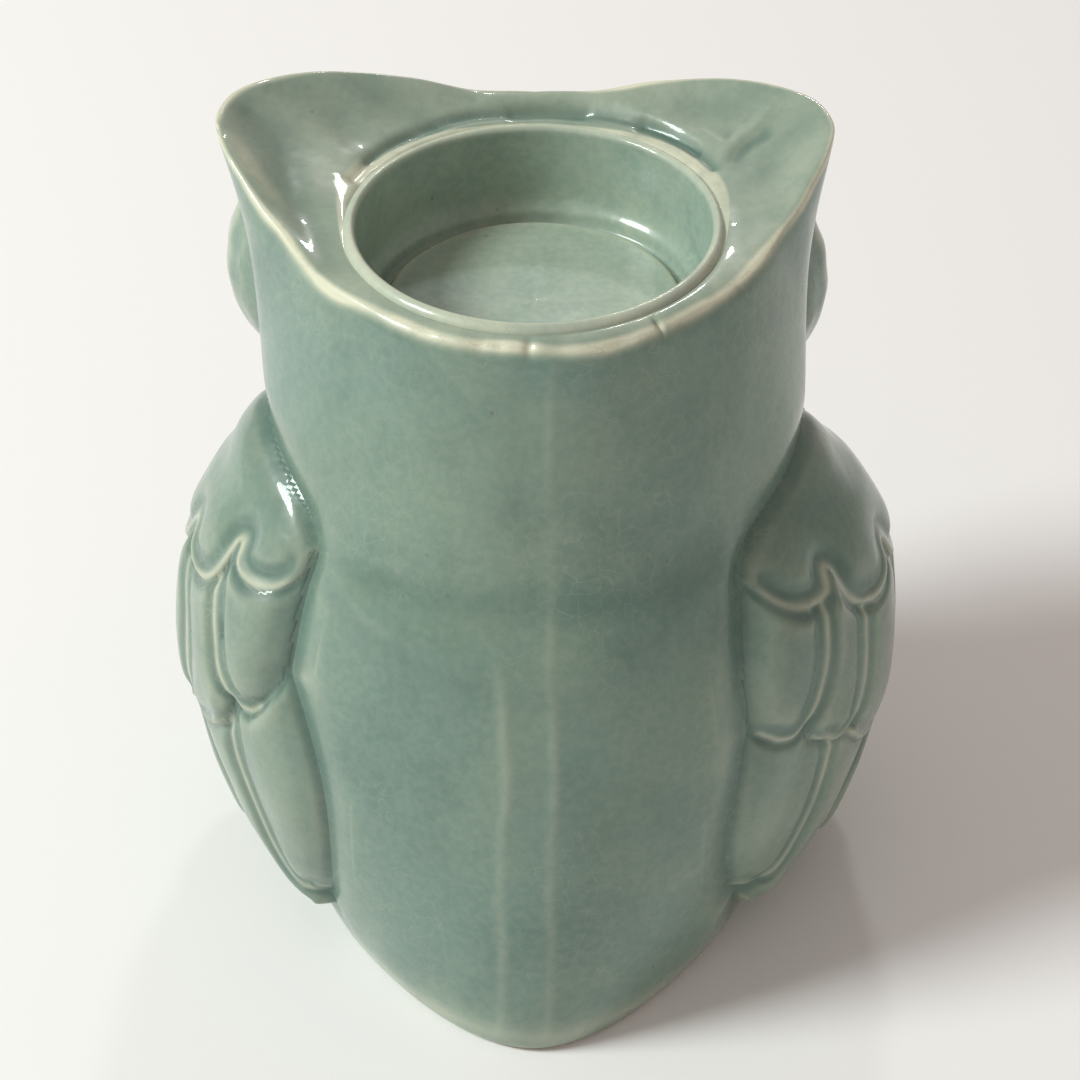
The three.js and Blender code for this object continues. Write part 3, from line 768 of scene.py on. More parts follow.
def wing_beds(form, angles, z, under_crest):
    """Relief under and round the wings, how the glaze darkens there, and how near a wing is."""
    relief, shade, nearness = (np.zeros(z.shape) for _ in range(3))
    for side in SIDES.values():
        near = (side * angles > 30) & (side * angles < 132) & (z < 78) & under_crest
        spots = np.stack([side * angles[near] * MM_PER_DEGREE, z[near]], -1)
        within = wing_relief(spots, side, form)[2]
        outside = np.clip(-within, 0, None)
        relief[near] = -VALLEY * bell(outside, 0, VALLEY_SPREAD) - WING_BED * ease(within, 0.2, 1.4)
        shade[near] = 0.8 * bell(outside, 0, 2.6)
        nearness[near] = bell(outside, 0, 5)
    return relief, shade, nearness


def crown_marks(x, t, on_crown):
    """Relief of the crown's ridges and creases, and how deep the glaze lies in the creases."""
    plan = np.stack([x.ravel(), t.ravel()], -1)
    chosen = on_crown.ravel() > 0
    lift, deep = np.zeros(x.size), np.zeros(x.size)
    for line, height, spread in CROWN_LINES:
        off = distance_to_line(plan[chosen], smooth_line(line))
        lift[chosen] += height * bell(off, 0, spread)
        deep[chosen] = np.maximum(deep[chosen], min(0.85, -1.8 * height) * bell(off, 0, 1.3 * spread))
    return lift.reshape(x.shape) * on_crown, deep.reshape(x.shape) * on_crown


def shell_skin(form):
    """The whole outer surface as a grid, rows up and columns round from -180, with its glaze."""
    angle, r, z, share, crest, corner = body_grid(form)
    angles = angle + 0 * r
    points = polar(angles, r, z)
    x, t = points[..., 0], points[..., 1]
    over_crest = share - crest
    under_crest = share < crest
    on_side = 1 - ease(over_crest, -0.012, 0.004)
    on_crown = ease(over_crest, -0.004, 0.012) * (1 - ease(share - corner, -0.004, 0.004))
    back = (np.cos(np.radians(angles)) > 0) * ease(z, 1, 6)

    beds, shade, by_wing = wing_beds(form, angles, z, under_crest)
    marks, deep = crown_marks(x, t, on_crown)
    relief = side_relief(form, angles, x, z, back) - 0.18 * neck_crease(angles, z, 1.4) * under_crest
    relief = relief * on_side + beds + marks
    for where, depth, spread in EDGE_CHIPS:
        arc = np.radians(angles - where) * r
        relief -= depth * bell(arc, 0, spread) * bell(over_crest, 0.002, 0.011)
    surface = points + normals_of(points, True) * relief[..., None]
    surface[..., 2] = np.maximum(surface[..., 2], 0)

    facing = normals_of(surface, True)
    columns_per_mm = len(angle) / (2 * math.pi * GLAZE_RADIUS)
    thin, pooled = glaze_flow(grid_edge(surface, facing, (ROWS_PER_MM, columns_per_mm), True) - 0.02)
    on_back = back * on_side
    back_calm = 1 - 0.6 * on_back * (1 - ease(np.abs(angles), 26, 38))
    shade = np.maximum(shade, 0.4 * neck_crease(angles, z, 0.5) * on_back)
    shade = np.maximum(shade, 0.3 * bell(above_drape(x, z), -2, 2.6) * on_back * ease(x, -14, 4))
    pooled = np.maximum(pooled * back_calm, shade * under_crest + deep)
    thin = np.maximum(thin * back_calm * (1 - 0.85 * by_wing), 0.34 * on_crown * (1 - pooled))
    thin = np.maximum(thin * (0.3 + 0.7 * ease(z, 1, 5)), 0.2 * back_lines(x, z)[0] * on_back)
    from_crest = over_crest * PROFILE_LENGTH
    wobble = 0.35 * np.sin(np.radians(angles * 4)) + 0.25 * np.sin(np.radians(angles * 9 + 50))
    cream = (1.35 + 0.3 * np.sin(np.radians(angles * 13))) * bell(from_crest, 0.1 + wobble, 1.1)
    # Painted highlight: a cream patch inside the left ear tip, partly glaze broken thin on the edge and
    # partly a painted highlight for the glint on a rounder edge.
    ear_tip_cream_and_highlight = 0.75 * bell(angles, 103, 9) * bell(from_crest, 3.6, 2.6)
    thin = np.maximum.reduce([thin, cream, ear_tip_cream_and_highlight])
    bare = (1 - ease(z, 0.05, 0.3)) * on_side
    return angle, surface, thin, pooled, bare


def shell_pieces(form, material):
    """Both halves of the body, from one skin, each closed with its inner wall."""
    angle, surface, thin, pooled, bare = shell_skin(form)
    half = form.shell_columns
    ceiling = CUP_SEAT - 2
    heights = np.array([ceiling, 74, 68, 60, 48, 34, 20, 8, 0.0])
    closing = np.clip((heights - HEAD_START) / (ceiling - HEAD_START), 0, 1) ** 1.5
    for side_name, side in SIDES.items():
        columns = np.arange(half, 2 * half + 1) % (2 * half) if side == 1 else np.arange(0, half + 1)
        turn = np.abs(angle[columns]) * side
        wide = body_radius(turn[None, :] + 0 * heights[:, None], heights[:, None] + 0 * turn) - WALL
        inner_r = wide + (LEDGE_RADIUS - wide) * closing[:, None]
        ledge = polar(turn, LEDGE_RADIUS + 0 * turn, CUP_SEAT - CUP_CLEARANCE)[None]
        inner = polar(turn[None, :] + 0 * inner_r, inner_r, heights[:, None])
        outer = surface[:, columns]
        points = np.concatenate([outer, ledge, inner, outer[:1]], 0)
        points[:, 0, 0] = points[:, -1, 0] = 0
        extra = len(points) - len(outer)
        layers = {"thin_glaze_and_highlight": thin, "pooled_glaze": pooled, "bare_clay": bare}
        values = {}
        for name, grid in layers.items():
            rest = np.full((extra, len(columns)), 1.0 if name == "bare_clay" else 0.0)
            values[name] = np.concatenate([grid[:, columns], rest], 0)
        values["bare_clay"][-1] = values["bare_clay"][0]
        name = "shell_" + side_name
        mesh = grid_mesh(name, points, values)
        bm = bmesh.new()
        bm.from_mesh(mesh)
        bmesh.ops.remove_doubles(bm, verts=bm.verts, dist=1e-7)
        rims = [edge for edge in bm.edges if edge.is_boundary]
        bmesh.ops.holes_fill(bm, edges=rims, sides=0)
        finish_mesh(bm, mesh, 50)
        piece(name, mesh, material)


# ---- turned pieces ----
def turned_mesh(name, profile, steps, centre=(0, 0, 0), closed=True):
    """A [radius, height] profile in mm, spun once round an upright axis, open ends left on the axis."""
    bm = bmesh.new()
    line = [bm.verts.new(((centre[0] + r) * MM, centre[1] * MM, (centre[2] + z) * MM)) for r, z in profile]
    edges = [bm.edges.new(pair) for pair in zip(line[:-1], line[1:])]
    if closed:
        edges.append(bm.edges.new((line[-1], line[0])))
    bmesh.ops.spin(bm, geom=line + edges, cent=Vector(centre) * MM, axis=(0, 0, 1), angle=math.tau,
                   steps=steps, use_merge=True)
    bmesh.ops.remove_doubles(bm, verts=bm.verts, dist=1e-6)
    return bm, bpy.data.meshes.new(name)


def rounded_profile(knots, spacing):
    """A profile with softened corners, sampled evenly."""
    line = smooth_line(knots, 10)
    along = np.concatenate([[0], np.cumsum(np.linalg.norm(np.diff(line, axis=0), axis=1))])
    count = max(8, int(along[-1] / spacing))
    at = np.linspace(0, along[-1], count)
    return np.stack([np.interp(at, along, line[:, k]) for k in range(2)], 1)


CUP_CENTRE = (0, AXIS_Y - CUP_FORWARD, 0)


def cup_wobble(bm, amount):
    """Leaves a thrown piece a little out of round."""
    middle = CUP_CENTRE[1] * MM
    for v in bm.verts:
        x, y = v.co.x, v.co.y - middle
        turn = math.atan2(x, y)
        swell = 1 + amount * (math.sin(2 * turn + 0.6) + 0.6 * math.sin(3 * turn + 2))
        v.co.x = x * swell
        v.co.y = y * swell + middle
        v.co.z += amount * 9 * MM * (math.sin(turn * 2 + 1.4) + 0.5 * math.sin(5 * turn))


def cup_piece(material):
    """The candle cup: an outer wall in the socket, a rolled rim, the well's wall and a ring groove."""
    outside = [(22.3, 79), (22.3, 86), (22.3, 92.6)]
    rolled_rim = [(22.5, 93.8), (22.35, 94.4), (22, 94.8), (21.5, 95), (21.05, 94.75), (20.87, 94.2)]
    well_wall = [(20.85, 92.5), (20.8, 88), (20.72, 86.2), (20.5, 85.1), (20.1, 84.4), (19.75, 84.05)]
    groove = [(19.5, 83.6), (19.3, 82.9), (19.05, 82.45), (18.6, 82.3), (18.3, 82.3), (18.3, 81), (18.3, 79)]
    profile = rounded_profile(outside + rolled_rim + well_wall + groove, 0.22)
    bm, mesh = turned_mesh("candle_cup", profile, 220, CUP_CENTRE)
    cup_wobble(bm, 0.0022)
    finish_mesh(bm, mesh, 60)
    worn(mesh, 0.05)
    piece("candle_cup", mesh, material)


# Above this height in mm the raised disc is slightly uneven.
FLOOR_FACE = 83.0


def floor_piece(material):
    """The raised disc that the tealight stands on, with a soft edge."""
    face = [(0, 83.5), (6, 83.46), (12, 83.5), (15.6, 83.56), (16.7, 83.6), (17.35, 83.5)]
    side = [(17.75, 83.15), (17.95, 82.6), (18, 81.6), (18, 79), (16.5, 79)]
    disc = np.vstack([rounded_profile(face + side, 0.3), [(0, 79)]])
    bm, mesh = turned_mesh("cup_floor", disc, 180, CUP_CENTRE, closed=False)
    for v in bm.verts:
        x, y = v.co.x / MM, v.co.y / MM
        if v.co.z > FLOOR_FACE * MM:
            v.co.z += 0.06 * MM * math.sin(x * 0.33 + 1) * math.sin(y * 0.29)
    cup_wobble(bm, 0.002)
    finish_mesh(bm, mesh, 60)
    worn(mesh, 0.05)
    piece("cup_floor", mesh, material)


def base_piece(material):
    """The flat base, pressed in under the body, with a vent hole."""
    rings, count = 26, 180
    vent, edge_bend = 5.0, 0.5
    angle = np.linspace(0, 360, count + 1)
    turn = (angle + 180) % 360 - 180
    reach = body_radius(turn, 0 * turn) - WALL - 0.12
    share = np.linspace(0, 1, rings)[:, None] ** 0.8
    flat_r = vent + edge_bend + (reach - vent - 2 * edge_bend) * share
    dish = 0.25 * bell(share, 0.45, 0.3) + 0 * flat_r
    dish += 0.03 * np.sin(np.radians(turn * 5))[None] * np.sin(share * 9)
    under = polar(turn[None] + 0 * flat_r, flat_r, np.maximum(dish, 0))
    bend = [(edge_bend, 0.14), (0.14, edge_bend), (0, 1.2)]
    edge = np.stack([polar(turn, reach - b[0] * 0.9, b[1]) for b in bend[1:]])
    upper = polar(turn[None] + 0 * flat_r, flat_r[::-1], 3.8 + 0 * flat_r)
    lip = np.stack([polar(turn, vent + b[0] + 0 * turn, b[1]) for b in bend[::-1]])
    points = np.concatenate([under, edge, upper, lip[:-1], under[:1]], 0)
    mesh = grid_mesh("base_plate", points, {})
    bm = bmesh.new()
    bm.from_mesh(mesh)
    finish_mesh(bm, mesh, 45)
    worn(mesh)
    piece("base_plate", mesh, material)


# ---- face ----
FACE = {"x": 19.8, "t": -25.6, "z": 77, "radius": 19.4, "yaw": 24, "eye": 7}
CHEEK_DROP = {1: 0, -1: 3}
CHEEK_OUT = {1: 1.0, -1: -0.6}
# How deep under the head's surface the hidden back of a facial disc lies.
DISC_SINK = 1.5


def face_matrix(side):
    """Turns +Z to point forwards and out of one side of the face, at its middle."""
    turn = Matrix.Rotation(math.radians(FACE["yaw"]) * side, 4, "Z") @ Matrix.Rotation(math.pi / 2, 4, "X")
    x = side * (FACE["x"] + CHEEK_OUT[side])
    place = Vector((x, FACE["t"] + AXIS_Y, FACE["z"] - CHEEK_DROP[side])) * MM
    return Matrix.Translation(place) @ turn


def disc_piece(side_name, material):
    """The dished ruff round one eye, with fine ribs that fan out from it."""
    side = SIDES[side_name]
    r = FACE["radius"]
    eye = FACE["eye"]
    profile = [(0, 0.9), (eye + 0.5, 0.9), (eye + 1.5, 1.15), (r * 0.6, 1.6), (r - 4.2, 2.35), (r - 3, 2.95),
               (r - 1.9, 3.0), (r - 0.7, 2.2), (r, 0.4), (r - 0.15, -1.5), (r - 0.8, -4.4), (r - 3.4, -9.6),
               (r - 6, -10), (0, -10)]
    bm, mesh = turned_mesh("facial_disc_" + side_name, rounded_profile(profile, 0.45), 220, closed=False)
    for v in bm.verts:
        x, y, h = v.co / MM
        radius, turn = math.hypot(x, y), math.atan2(y, x)
        if h > 0.3 and radius > eye + 1:
            fan = float(ease(radius, eye + 1.2, eye + 4)) * float(1 - ease(radius, r - 3.2, r - 1))
            v.co.z += 0.26 * MM * fan * math.cos(44 * turn + 0.5 * math.sin(5 * turn))
        if radius > r - 5 and h > -3:
            edge = float(ease(radius, r - 5, r - 2))
            v.co.z += 0.2 * MM * edge * math.cos(22 * turn)
    bm.transform(face_matrix(side))
    for v in bm.verts:
        x, t, z = v.co.x / MM, v.co.y / MM - AXIS_Y, v.co.z / MM
        turn = np.array(math.degrees(math.atan2(x, t)))
        shell = float(body_radius(turn, np.array(z)))
        radius = math.hypot(x, t)
        if radius < shell - DISC_SINK:
            v.co.x = x * (shell - DISC_SINK) / radius * MM
            v.co.y = (t * (shell - DISC_SINK) / radius + AXIS_Y) * MM
            v.co.z = min(z, float(edge_height(turn)) - 4) * MM
    bmesh.ops.bisect_plane(bm, geom=bm.verts[:] + bm.edges[:] + bm.faces[:], plane_co=(0, 0, 0),
                           plane_no=(side, 0, 0), clear_inner=True)
    bmesh.ops.holes_fill(bm, edges=[e for e in bm.edges if e.is_boundary], sides=0)
    finish_mesh(bm, mesh, 55)
    worn(mesh)
    piece("facial_disc_" + side_name, mesh, material)


def eye_piece(side_name, material):
    """A domed eye with a ring round its iris and a small hollow for the pupil."""
    side = SIDES[side_name]
    top = 1.9
    profile = [(0, top + 2.5), (1.6, top + 2.55), (2.1, top + 2.8), (2.6, top + 2.95), (3.4, top + 2.7),
               (4.5, top + 2.1), (5.1, top + 1.6), (5.5, top + 1.45), (6.2, top + 1.3), (6.8, top + 0.6),
               (7, top - 0.2), (6.9, 0.9), (0, 0.9)]
    bm, mesh = turned_mesh("eye_" + side_name, rounded_profile(profile, 0.25), 120, closed=False)
    bm.transform(face_matrix(side))
    finish_mesh(bm, mesh, 60)
    worn(mesh)
    piece("eye_" + side_name, mesh, material)


def beak_piece(material):
    """A short hooked beak with a ridge down its front and a nick at each side."""
    bm = bmesh.new()
    bmesh.ops.create_uvsphere(bm, u_segments=96, v_segments=72, radius=1)
    for v in bm.verts:
        x, y, z = v.co
        narrow = 1 + 0.5 * z if z < 0 else 1 - 0.2 * z
        keel = 1 - 0.22 * abs(x) ** 0.7 if y < 0 else 1
        nick = 0.09 * math.exp(-(((z + 0.28) / 0.12) ** 2)) * (abs(x) > 0.35)
        v.co.x = 5 * MM * x * narrow * (1 - nick)
        v.co.y = MM * (5.5 * y * narrow * keel + 2 * z * z - 33.5 + AXIS_Y)
        v.co.z = MM * (9.5 * z + 75)
    mesh = bpy.data.meshes.new("beak")
    finish_mesh(bm, mesh, 60)
    worn(mesh)
    piece("beak", mesh, material)


# ---- feet ----
TOE_SPACING = 6.4
FOOT_CENTRE = 12.5
FOOT_REACH = 39
# The part of a foot under the body stays this far above the ground, clear of the base.
FOOT_ROOT_HEIGHT = 0.8


def foot_piece(side_name, material):
    """Three rounded toes, each with a claw mark, run together as one modelled foot."""
    side = SIDES[side_name]
    name = "foot_" + side_name
    bm = bmesh.new()
    for across in (-TOE_SPACING, 0, TOE_SPACING):
        reach = FOOT_REACH - 0.16 * abs(across)
        made = bmesh.ops.create_uvsphere(bm, u_segments=48, v_segments=36, radius=1)
        for v in made["verts"]:
            x, y, z = v.co
            claw = 0.14 * math.exp(-(((y + 0.62) / 0.1) ** 2)) * (z > 0)
            knuckle = 0.1 * math.exp(-(((y + 0.1) / 0.25) ** 2)) * (z > 0)
            v.co.x = MM * (3.5 * x * (1 - claw) + side * FOOT_CENTRE + across)
            v.co.y = MM * (10 * y + 10 - reach + AXIS_Y)
            v.co.z = MM * (7 * z * (1 - claw + knuckle) + 1.2)
    mesh = bpy.data.meshes.new(name)
    bm.to_mesh(mesh)
    bm.free()
    shape = bpy.data.objects.new(name + "_shape", mesh)
    bpy.context.scene.collection.objects.link(shape)
    remesh = shape.modifiers.new("Run together", "REMESH")
    remesh.mode = "VOXEL"
    remesh.voxel_size = 0.32 * MM
    soften = shape.modifiers.new("Soften", "SMOOTH")
    soften.iterations = 6
    ready = shape.evaluated_get(bpy.context.evaluated_depsgraph_get())
    bm = bmesh.new()
    bm.from_mesh(ready.to_mesh())
    bpy.data.objects.remove(shape)
    bmesh.ops.bisect_plane(bm, geom=bm.verts[:] + bm.edges[:] + bm.faces[:], plane_co=(0, 0, 0.05 * MM),
                           plane_no=(0, 0, 1), clear_inner=True)
    bmesh.ops.holes_fill(bm, edges=[e for e in bm.edges if e.is_boundary], sides=0)
    x, y = (np.array([v.co[i] / MM for v in bm.verts]) for i in (0, 1))
    t = y - AXIS_Y
    inside_body = np.hypot(x, t) < body_radius(np.degrees(np.arctan2(x, t)), 2 + 0 * x) - 1
    for v, hidden in zip(bm.verts, inside_body):
        if hidden:
            v.co.z = max(v.co.z, FOOT_ROOT_HEIGHT * MM)
    mesh = bpy.data.meshes.new(name + "_mesh")
    finish_mesh(bm, mesh, 60)
    worn(mesh)
    piece(name, mesh, material)


# ---- materials ----
class NodeDesk:
    """Short ways to add and join the nodes of one material."""

    def __init__(self, name):
        self.material = bpy.data.materials.new(name)
        self.material.use_nodes = True
        self.tree = self.material.node_tree
        self.tree.nodes.clear()

    def add(self, kind, inputs=None, **settings):
        node = self.tree.nodes.new(kind)
        for key, value in settings.items():
            setattr(node, key, value)
        for key, value in (inputs or {}).items():
            self.feed(node, key, value)
        return node

    def feed(self, node, key, value):
        socket = node.inputs[key]
        if isinstance(value, bpy.types.NodeSocket):
            self.tree.links.new(value, socket)
        else:
            socket.default_value = value

    def attribute(self, name):
        return self.add("ShaderNodeAttribute", attribute_name=name).outputs["Fac"]

    def maths(self, operation, a, b=0.0, clamp=False):
        return self.add("ShaderNodeMath", {0: a, 1: b}, operation=operation, use_clamp=clamp).outputs[0]

    def between(self, value, low, high, to_low=0.0, to_high=1.0):
        node = self.add("ShaderNodeMapRange", {"Value": value, "From Min": low, "From Max": high,
                                               "To Min": to_low, "To Max": to_high},
                        interpolation_type="SMOOTHSTEP")
        return node.outputs[0]

    def mix(self, share, a, b, blend="MIX"):
        node = self.add("ShaderNodeMix", data_type="RGBA", blend_type=blend)
        self.feed(node, "Factor", share)
        self.feed(node, 6, a)
        self.feed(node, 7, b)
        return node.outputs[2]

    def noise(self, where, scale, detail=2.0, rough=0.5, twist=0.0):
        node = self.add("ShaderNodeTexNoise", {"Vector": where, "Scale": scale, "Detail": detail,
                                               "Roughness": rough, "Distortion": twist})
        return node.outputs["Fac"]

    def close(self, shader):
        end = self.add("ShaderNodeOutputMaterial")
        self.tree.links.new(shader.outputs[0], end.inputs["Surface"])
        return self.material


def opaque(colour):
    """A colour with full alpha, as the sockets want it."""
    return (*colour, 1.0)


def glaze_material(name, glaze, tint):
    """A glossy running glaze: thin and pale on edges, deep in hollows, crazed and unevenly fired; a tint
    above one makes a paler copy as painted light.
    """
    desk = NodeDesk(name)
    where = desk.add("ShaderNodeTexCoord").outputs["Object"]
    thin = desk.attribute("thin_glaze_and_highlight")
    pooled = desk.attribute("pooled_glaze")
    bare = desk.attribute("bare_clay")

    patches = desk.between(desk.noise(where, 34, 3, 0.55, 0.4), 0.36, 0.66)
    body = desk.mix(patches, opaque(glaze.body_colour), opaque(glaze.second_colour))
    clouds = desk.between(desk.noise(where, 75, 4, 0.6), 0.4, 0.72, 0, 0.35)
    body = desk.mix(clouds, body, opaque(glaze.pooled_colour))
    fine = desk.noise(where, 900, 3, 0.6)
    body = desk.mix(desk.between(fine, 0.35, 0.65, 0, 0.05), body, opaque(glaze.thin_colour))
    # For the cup's copy this tint paints the glaze paler, as painted light in the shaded well.
    body = desk.mix(1.0, body, opaque(tint), "MULTIPLY")

    edge_noise = desk.noise(where, 420, 3, 0.6)
    uneven = desk.between(desk.noise(where, 90, 2, 0.5), 0.3, 0.7, 0.62, 1.0)
    broken = desk.between(edge_noise, 0.2, 0.6, 0.7, 1.0)
    pale = desk.maths("MULTIPLY", desk.maths("MULTIPLY", thin, uneven), broken, True)
    deep = desk.maths("MULTIPLY", pooled, desk.between(edge_noise, 0.25, 0.7, 0.75, 1.0), True)
    colour = desk.mix(desk.maths("MULTIPLY", deep, 0.82), body, opaque(glaze.pooled_colour))
    # The thin glaze layer also carries the painted highlight at the left ear tip, mixed in here with the
    # thin colour.
    colour = desk.mix(desk.maths("MULTIPLY", pale, 0.85), colour, opaque(glaze.thin_colour))

    sway = desk.add("ShaderNodeTexNoise", {"Vector": where, "Scale": 260.0}).outputs["Color"]
    sway = desk.add("ShaderNodeVectorMath", {0: sway, "Scale": 0.0022}, operation="SCALE").outputs[0]
    bent = desk.add("ShaderNodeVectorMath", {0: where, 1: sway}, operation="ADD").outputs[0]
    craze = desk.add("ShaderNodeTexVoronoi", {"Vector": bent, "Scale": 1 / glaze.craze_size},
                     feature="DISTANCE_TO_EDGE").outputs["Distance"]
    line = desk.between(craze, 0.0, 0.035, 1.0, 0.0)
    zone = desk.between(desk.noise(where, 48, 2, 0.5), 0.42, 0.62)
    crack = desk.maths("MULTIPLY", line, desk.maths("MULTIPLY", zone, glaze.craze_strength))
    colour = desk.mix(crack, colour, opaque(glaze.craze_colour))

    speck = desk.add("ShaderNodeTexVoronoi", {"Vector": where, "Scale": 190.0, "Randomness": 1.0})
    dots = desk.maths("MULTIPLY", desk.between(speck.outputs["Distance"], 0.03, 0.07, 1.0, 0.0),
                      desk.between(desk.noise(where, 60, 1, 0.5), 0.55, 0.62))
    colour = desk.mix(desk.maths("MULTIPLY", dots, 0.4), colour, opaque(glaze.speck_colour))
    clay = desk.mix(desk.between(desk.noise(where, 700, 4, 0.7), 0.3, 0.7), opaque(glaze.clay_colour),
                    opaque(glaze.clay_shade))
    colour = desk.mix(bare, colour, clay)

    rough = desk.between(desk.noise(where, 140, 3, 0.6), 0.3, 0.7, glaze.roughness * 0.8,
                         glaze.roughness * 1.25)
    rough = desk.maths("ADD", rough, desk.maths("MULTIPLY", bare, 0.55), True)
    skin = desk.maths("ADD", desk.maths("MULTIPLY", desk.noise(where, 160, 2, 0.5), 0.8),
                      desk.maths("MULTIPLY", desk.noise(where, 520, 2, 0.5), 0.16))
    skin = desk.maths("SUBTRACT", skin, desk.maths("MULTIPLY", crack, 0.06))
    bump = desk.add("ShaderNodeBump", {"Strength": 0.30, "Distance": 0.0006, "Height": skin})
    shader = desk.add("ShaderNodeBsdfPrincipled", {
        "Base Color": colour, "Roughness": rough, "Normal": bump.outputs[0], "IOR": 1.5,
        "Specular IOR Level": 0.3, "Coat Weight": 0.5, "Coat Roughness": 0.04, "Coat IOR": 1.45,
    })
    return desk.close(shader)


def bisque_material(name, glaze):
    """Fired clay without glaze: matt, sandy, a little rubbed and stained."""
    desk = NodeDesk(name)
    where = desk.add("ShaderNodeTexCoord").outputs["Object"]
    sand = desk.noise(where, 900, 5, 0.7)
    stain = desk.between(desk.noise(where, 70, 4, 0.6, 0.5), 0.42, 0.7)
    colour = desk.mix(desk.between(sand, 0.35, 0.65), opaque(glaze.clay_colour), opaque(glaze.clay_shade))
    colour = desk.mix(desk.maths("MULTIPLY", stain, 0.35), colour, opaque(glaze.speck_colour))
    rubbed = desk.maths("MULTIPLY", desk.attribute("thin_glaze_and_highlight"), 0.5)
    colour = desk.mix(rubbed, colour, opaque(glaze.thin_colour))
    grit = desk.maths("ADD", sand, desk.maths("MULTIPLY", desk.noise(where, 2600, 2, 0.5), 0.4))
    bump = desk.add("ShaderNodeBump", {"Strength": 0.6, "Distance": 0.0003, "Height": grit})
    rough = desk.between(sand, 0.3, 0.7, 0.72, 0.9)
    shader = desk.add("ShaderNodeBsdfPrincipled", {"Base Color": colour, "Roughness": rough,
                                                   "Normal": bump.outputs[0]})
    return desk.close(shader)


# The cup's glaze is this much paler and warmer than the body's; the paleness is painted light that brightens
# the shaded well.
CUP_PAINTED_LIGHT_TINT = (1.8, 1.56, 1.6)


def shared_material(name, make, *arguments):
    return bpy.data.materials.get(name) or make(name, *arguments)


def body_glaze(context):
    return shared_material("running_celadon", glaze_material, context.scene.owl_glaze, (1.0, 1.0, 1.0))


# The cup's copy of the glaze, painted paler as painted light in the shaded well.
def cup_glaze(context):
    return shared_material("cup_celadon_painted_lighter", glaze_material, context.scene.owl_glaze, CUP_PAINTED_LIGHT_TINT)


# ---- settings ----
def colour_setting(name, description, default):
    return bpy.props.FloatVectorProperty(name=name, description=description, subtype="COLOR", size=3, min=0,
                                         max=1, default=default)


def length_setting(name, description, default):
    return bpy.props.FloatProperty(name=name, description=description, default=default, min=0, unit="LENGTH",
                                   precision=5)


class OwlForm(bpy.types.PropertyGroup):
    edge_rounding: length_setting("Edge rounding", "Softness of the crown's outer edge", 0.0016)
    seam_height: length_setting("Back lines", "Height of the two soft lines down the back", 0.00010)
    rim_height: length_setting("Feather rims", "How far each feather's rim stands up", 0.00042)
    groove_depth: length_setting("Feather grooves", "Depth of the groove round each feather", 0.0006)
    wing_step: bpy.props.FloatProperty(name="Wing detail", description="Degrees between points on a wing",
                                       default=0.44, min=0.2, max=2)
    shell_columns: bpy.props.IntProperty(name="Body detail", description="Columns on each half of the body",
                                         default=360, min=60, max=380)


class OwlGlaze(bpy.types.PropertyGroup):
    body_colour: colour_setting("Body", "The glaze at its usual thickness", (0.205, 0.300, 0.232))
    second_colour: colour_setting("Body, cooler", "The glaze where it fired bluer", (0.165, 0.268, 0.222))
    thin_colour: colour_setting("Thin", "The glaze where it ran thin on edges", (0.80, 0.80, 0.61))
    pooled_colour: colour_setting("Pooled", "The glaze where it pooled in hollows", (0.075, 0.150, 0.125))
    craze_colour: colour_setting("Craze lines", "The fine cracks in the glaze", (0.34, 0.40, 0.31))
    speck_colour: colour_setting("Specks", "Iron specks and stains", (0.13, 0.11, 0.07))
    clay_colour: colour_setting("Clay", "Bare fired clay", (0.66, 0.57, 0.42))
    clay_shade: colour_setting("Clay, darker", "Darker grains in the bare clay", (0.50, 0.41, 0.29))
    craze_size: length_setting("Craze size", "Width of one crazed cell", 0.0021)
    craze_strength: bpy.props.FloatProperty(name="Craze strength", default=0.35, min=0, max=1,
                                            description="How clearly the crazing shows", subtype="FACTOR")
    roughness: bpy.props.FloatProperty(name="Roughness", description="Roughness under the top gloss",
                                       default=0.32, min=0, max=1, subtype="FACTOR")


class OwlStage(bpy.types.PropertyGroup):
    floor_colour: colour_setting("Floor", "Colour of the studio floor", (0.96, 0.96, 0.955))
    floor_size: length_setting("Floor size", "Width of the studio floor", 6.0)
    key_power: bpy.props.FloatProperty(name="Key light", description="Power of the window light",
                                       default=15.5, min=0, unit="POWER")
    fill_strength: bpy.props.FloatProperty(name="Fill", description="Strength of the light all round",
                                           default=0.38, min=0)
    lens: bpy.props.FloatProperty(name="Lens", description="Focal length of the camera", default=85.33,
                                  min=20, unit="CAMERA")


# ---- operators ----
class OWL_OT_body(bpy.types.Operator):
    """Make both halves of the body, with the head, ears, crown and socket"""

    bl_idname = "owl.body"
    bl_label = "Body"

    def execute(self, context):
        shell_pieces(context.scene.owl_form, body_glaze(context))
        return {"FINISHED"}


class OWL_OT_wings(bpy.types.Operator):
    """Make the shoulder, secondary and primary feathers on both sides"""

    bl_idname = "owl.wings"
    bl_label = "Wings"

    def execute(self, context):
        for side_name in SIDES:
            wing_pieces(side_name, context.scene.owl_form, body_glaze(context))
        return {"FINISHED"}


class OWL_OT_candle_cup(bpy.types.Operator):
    """Make the candle cup with its rolled rim and ring groove"""

    bl_idname = "owl.candle_cup"
    bl_label = "Candle Cup"

    def execute(self, context):
        cup_piece(cup_glaze(context))
        return {"FINISHED"}


class OWL_OT_cup_floor(bpy.types.Operator):
    """Make the raised floor that the tealight stands on"""

    bl_idname = "owl.cup_floor"
    bl_label = "Cup Floor"

    def execute(self, context):
        floor_piece(cup_glaze(context))
        return {"FINISHED"}


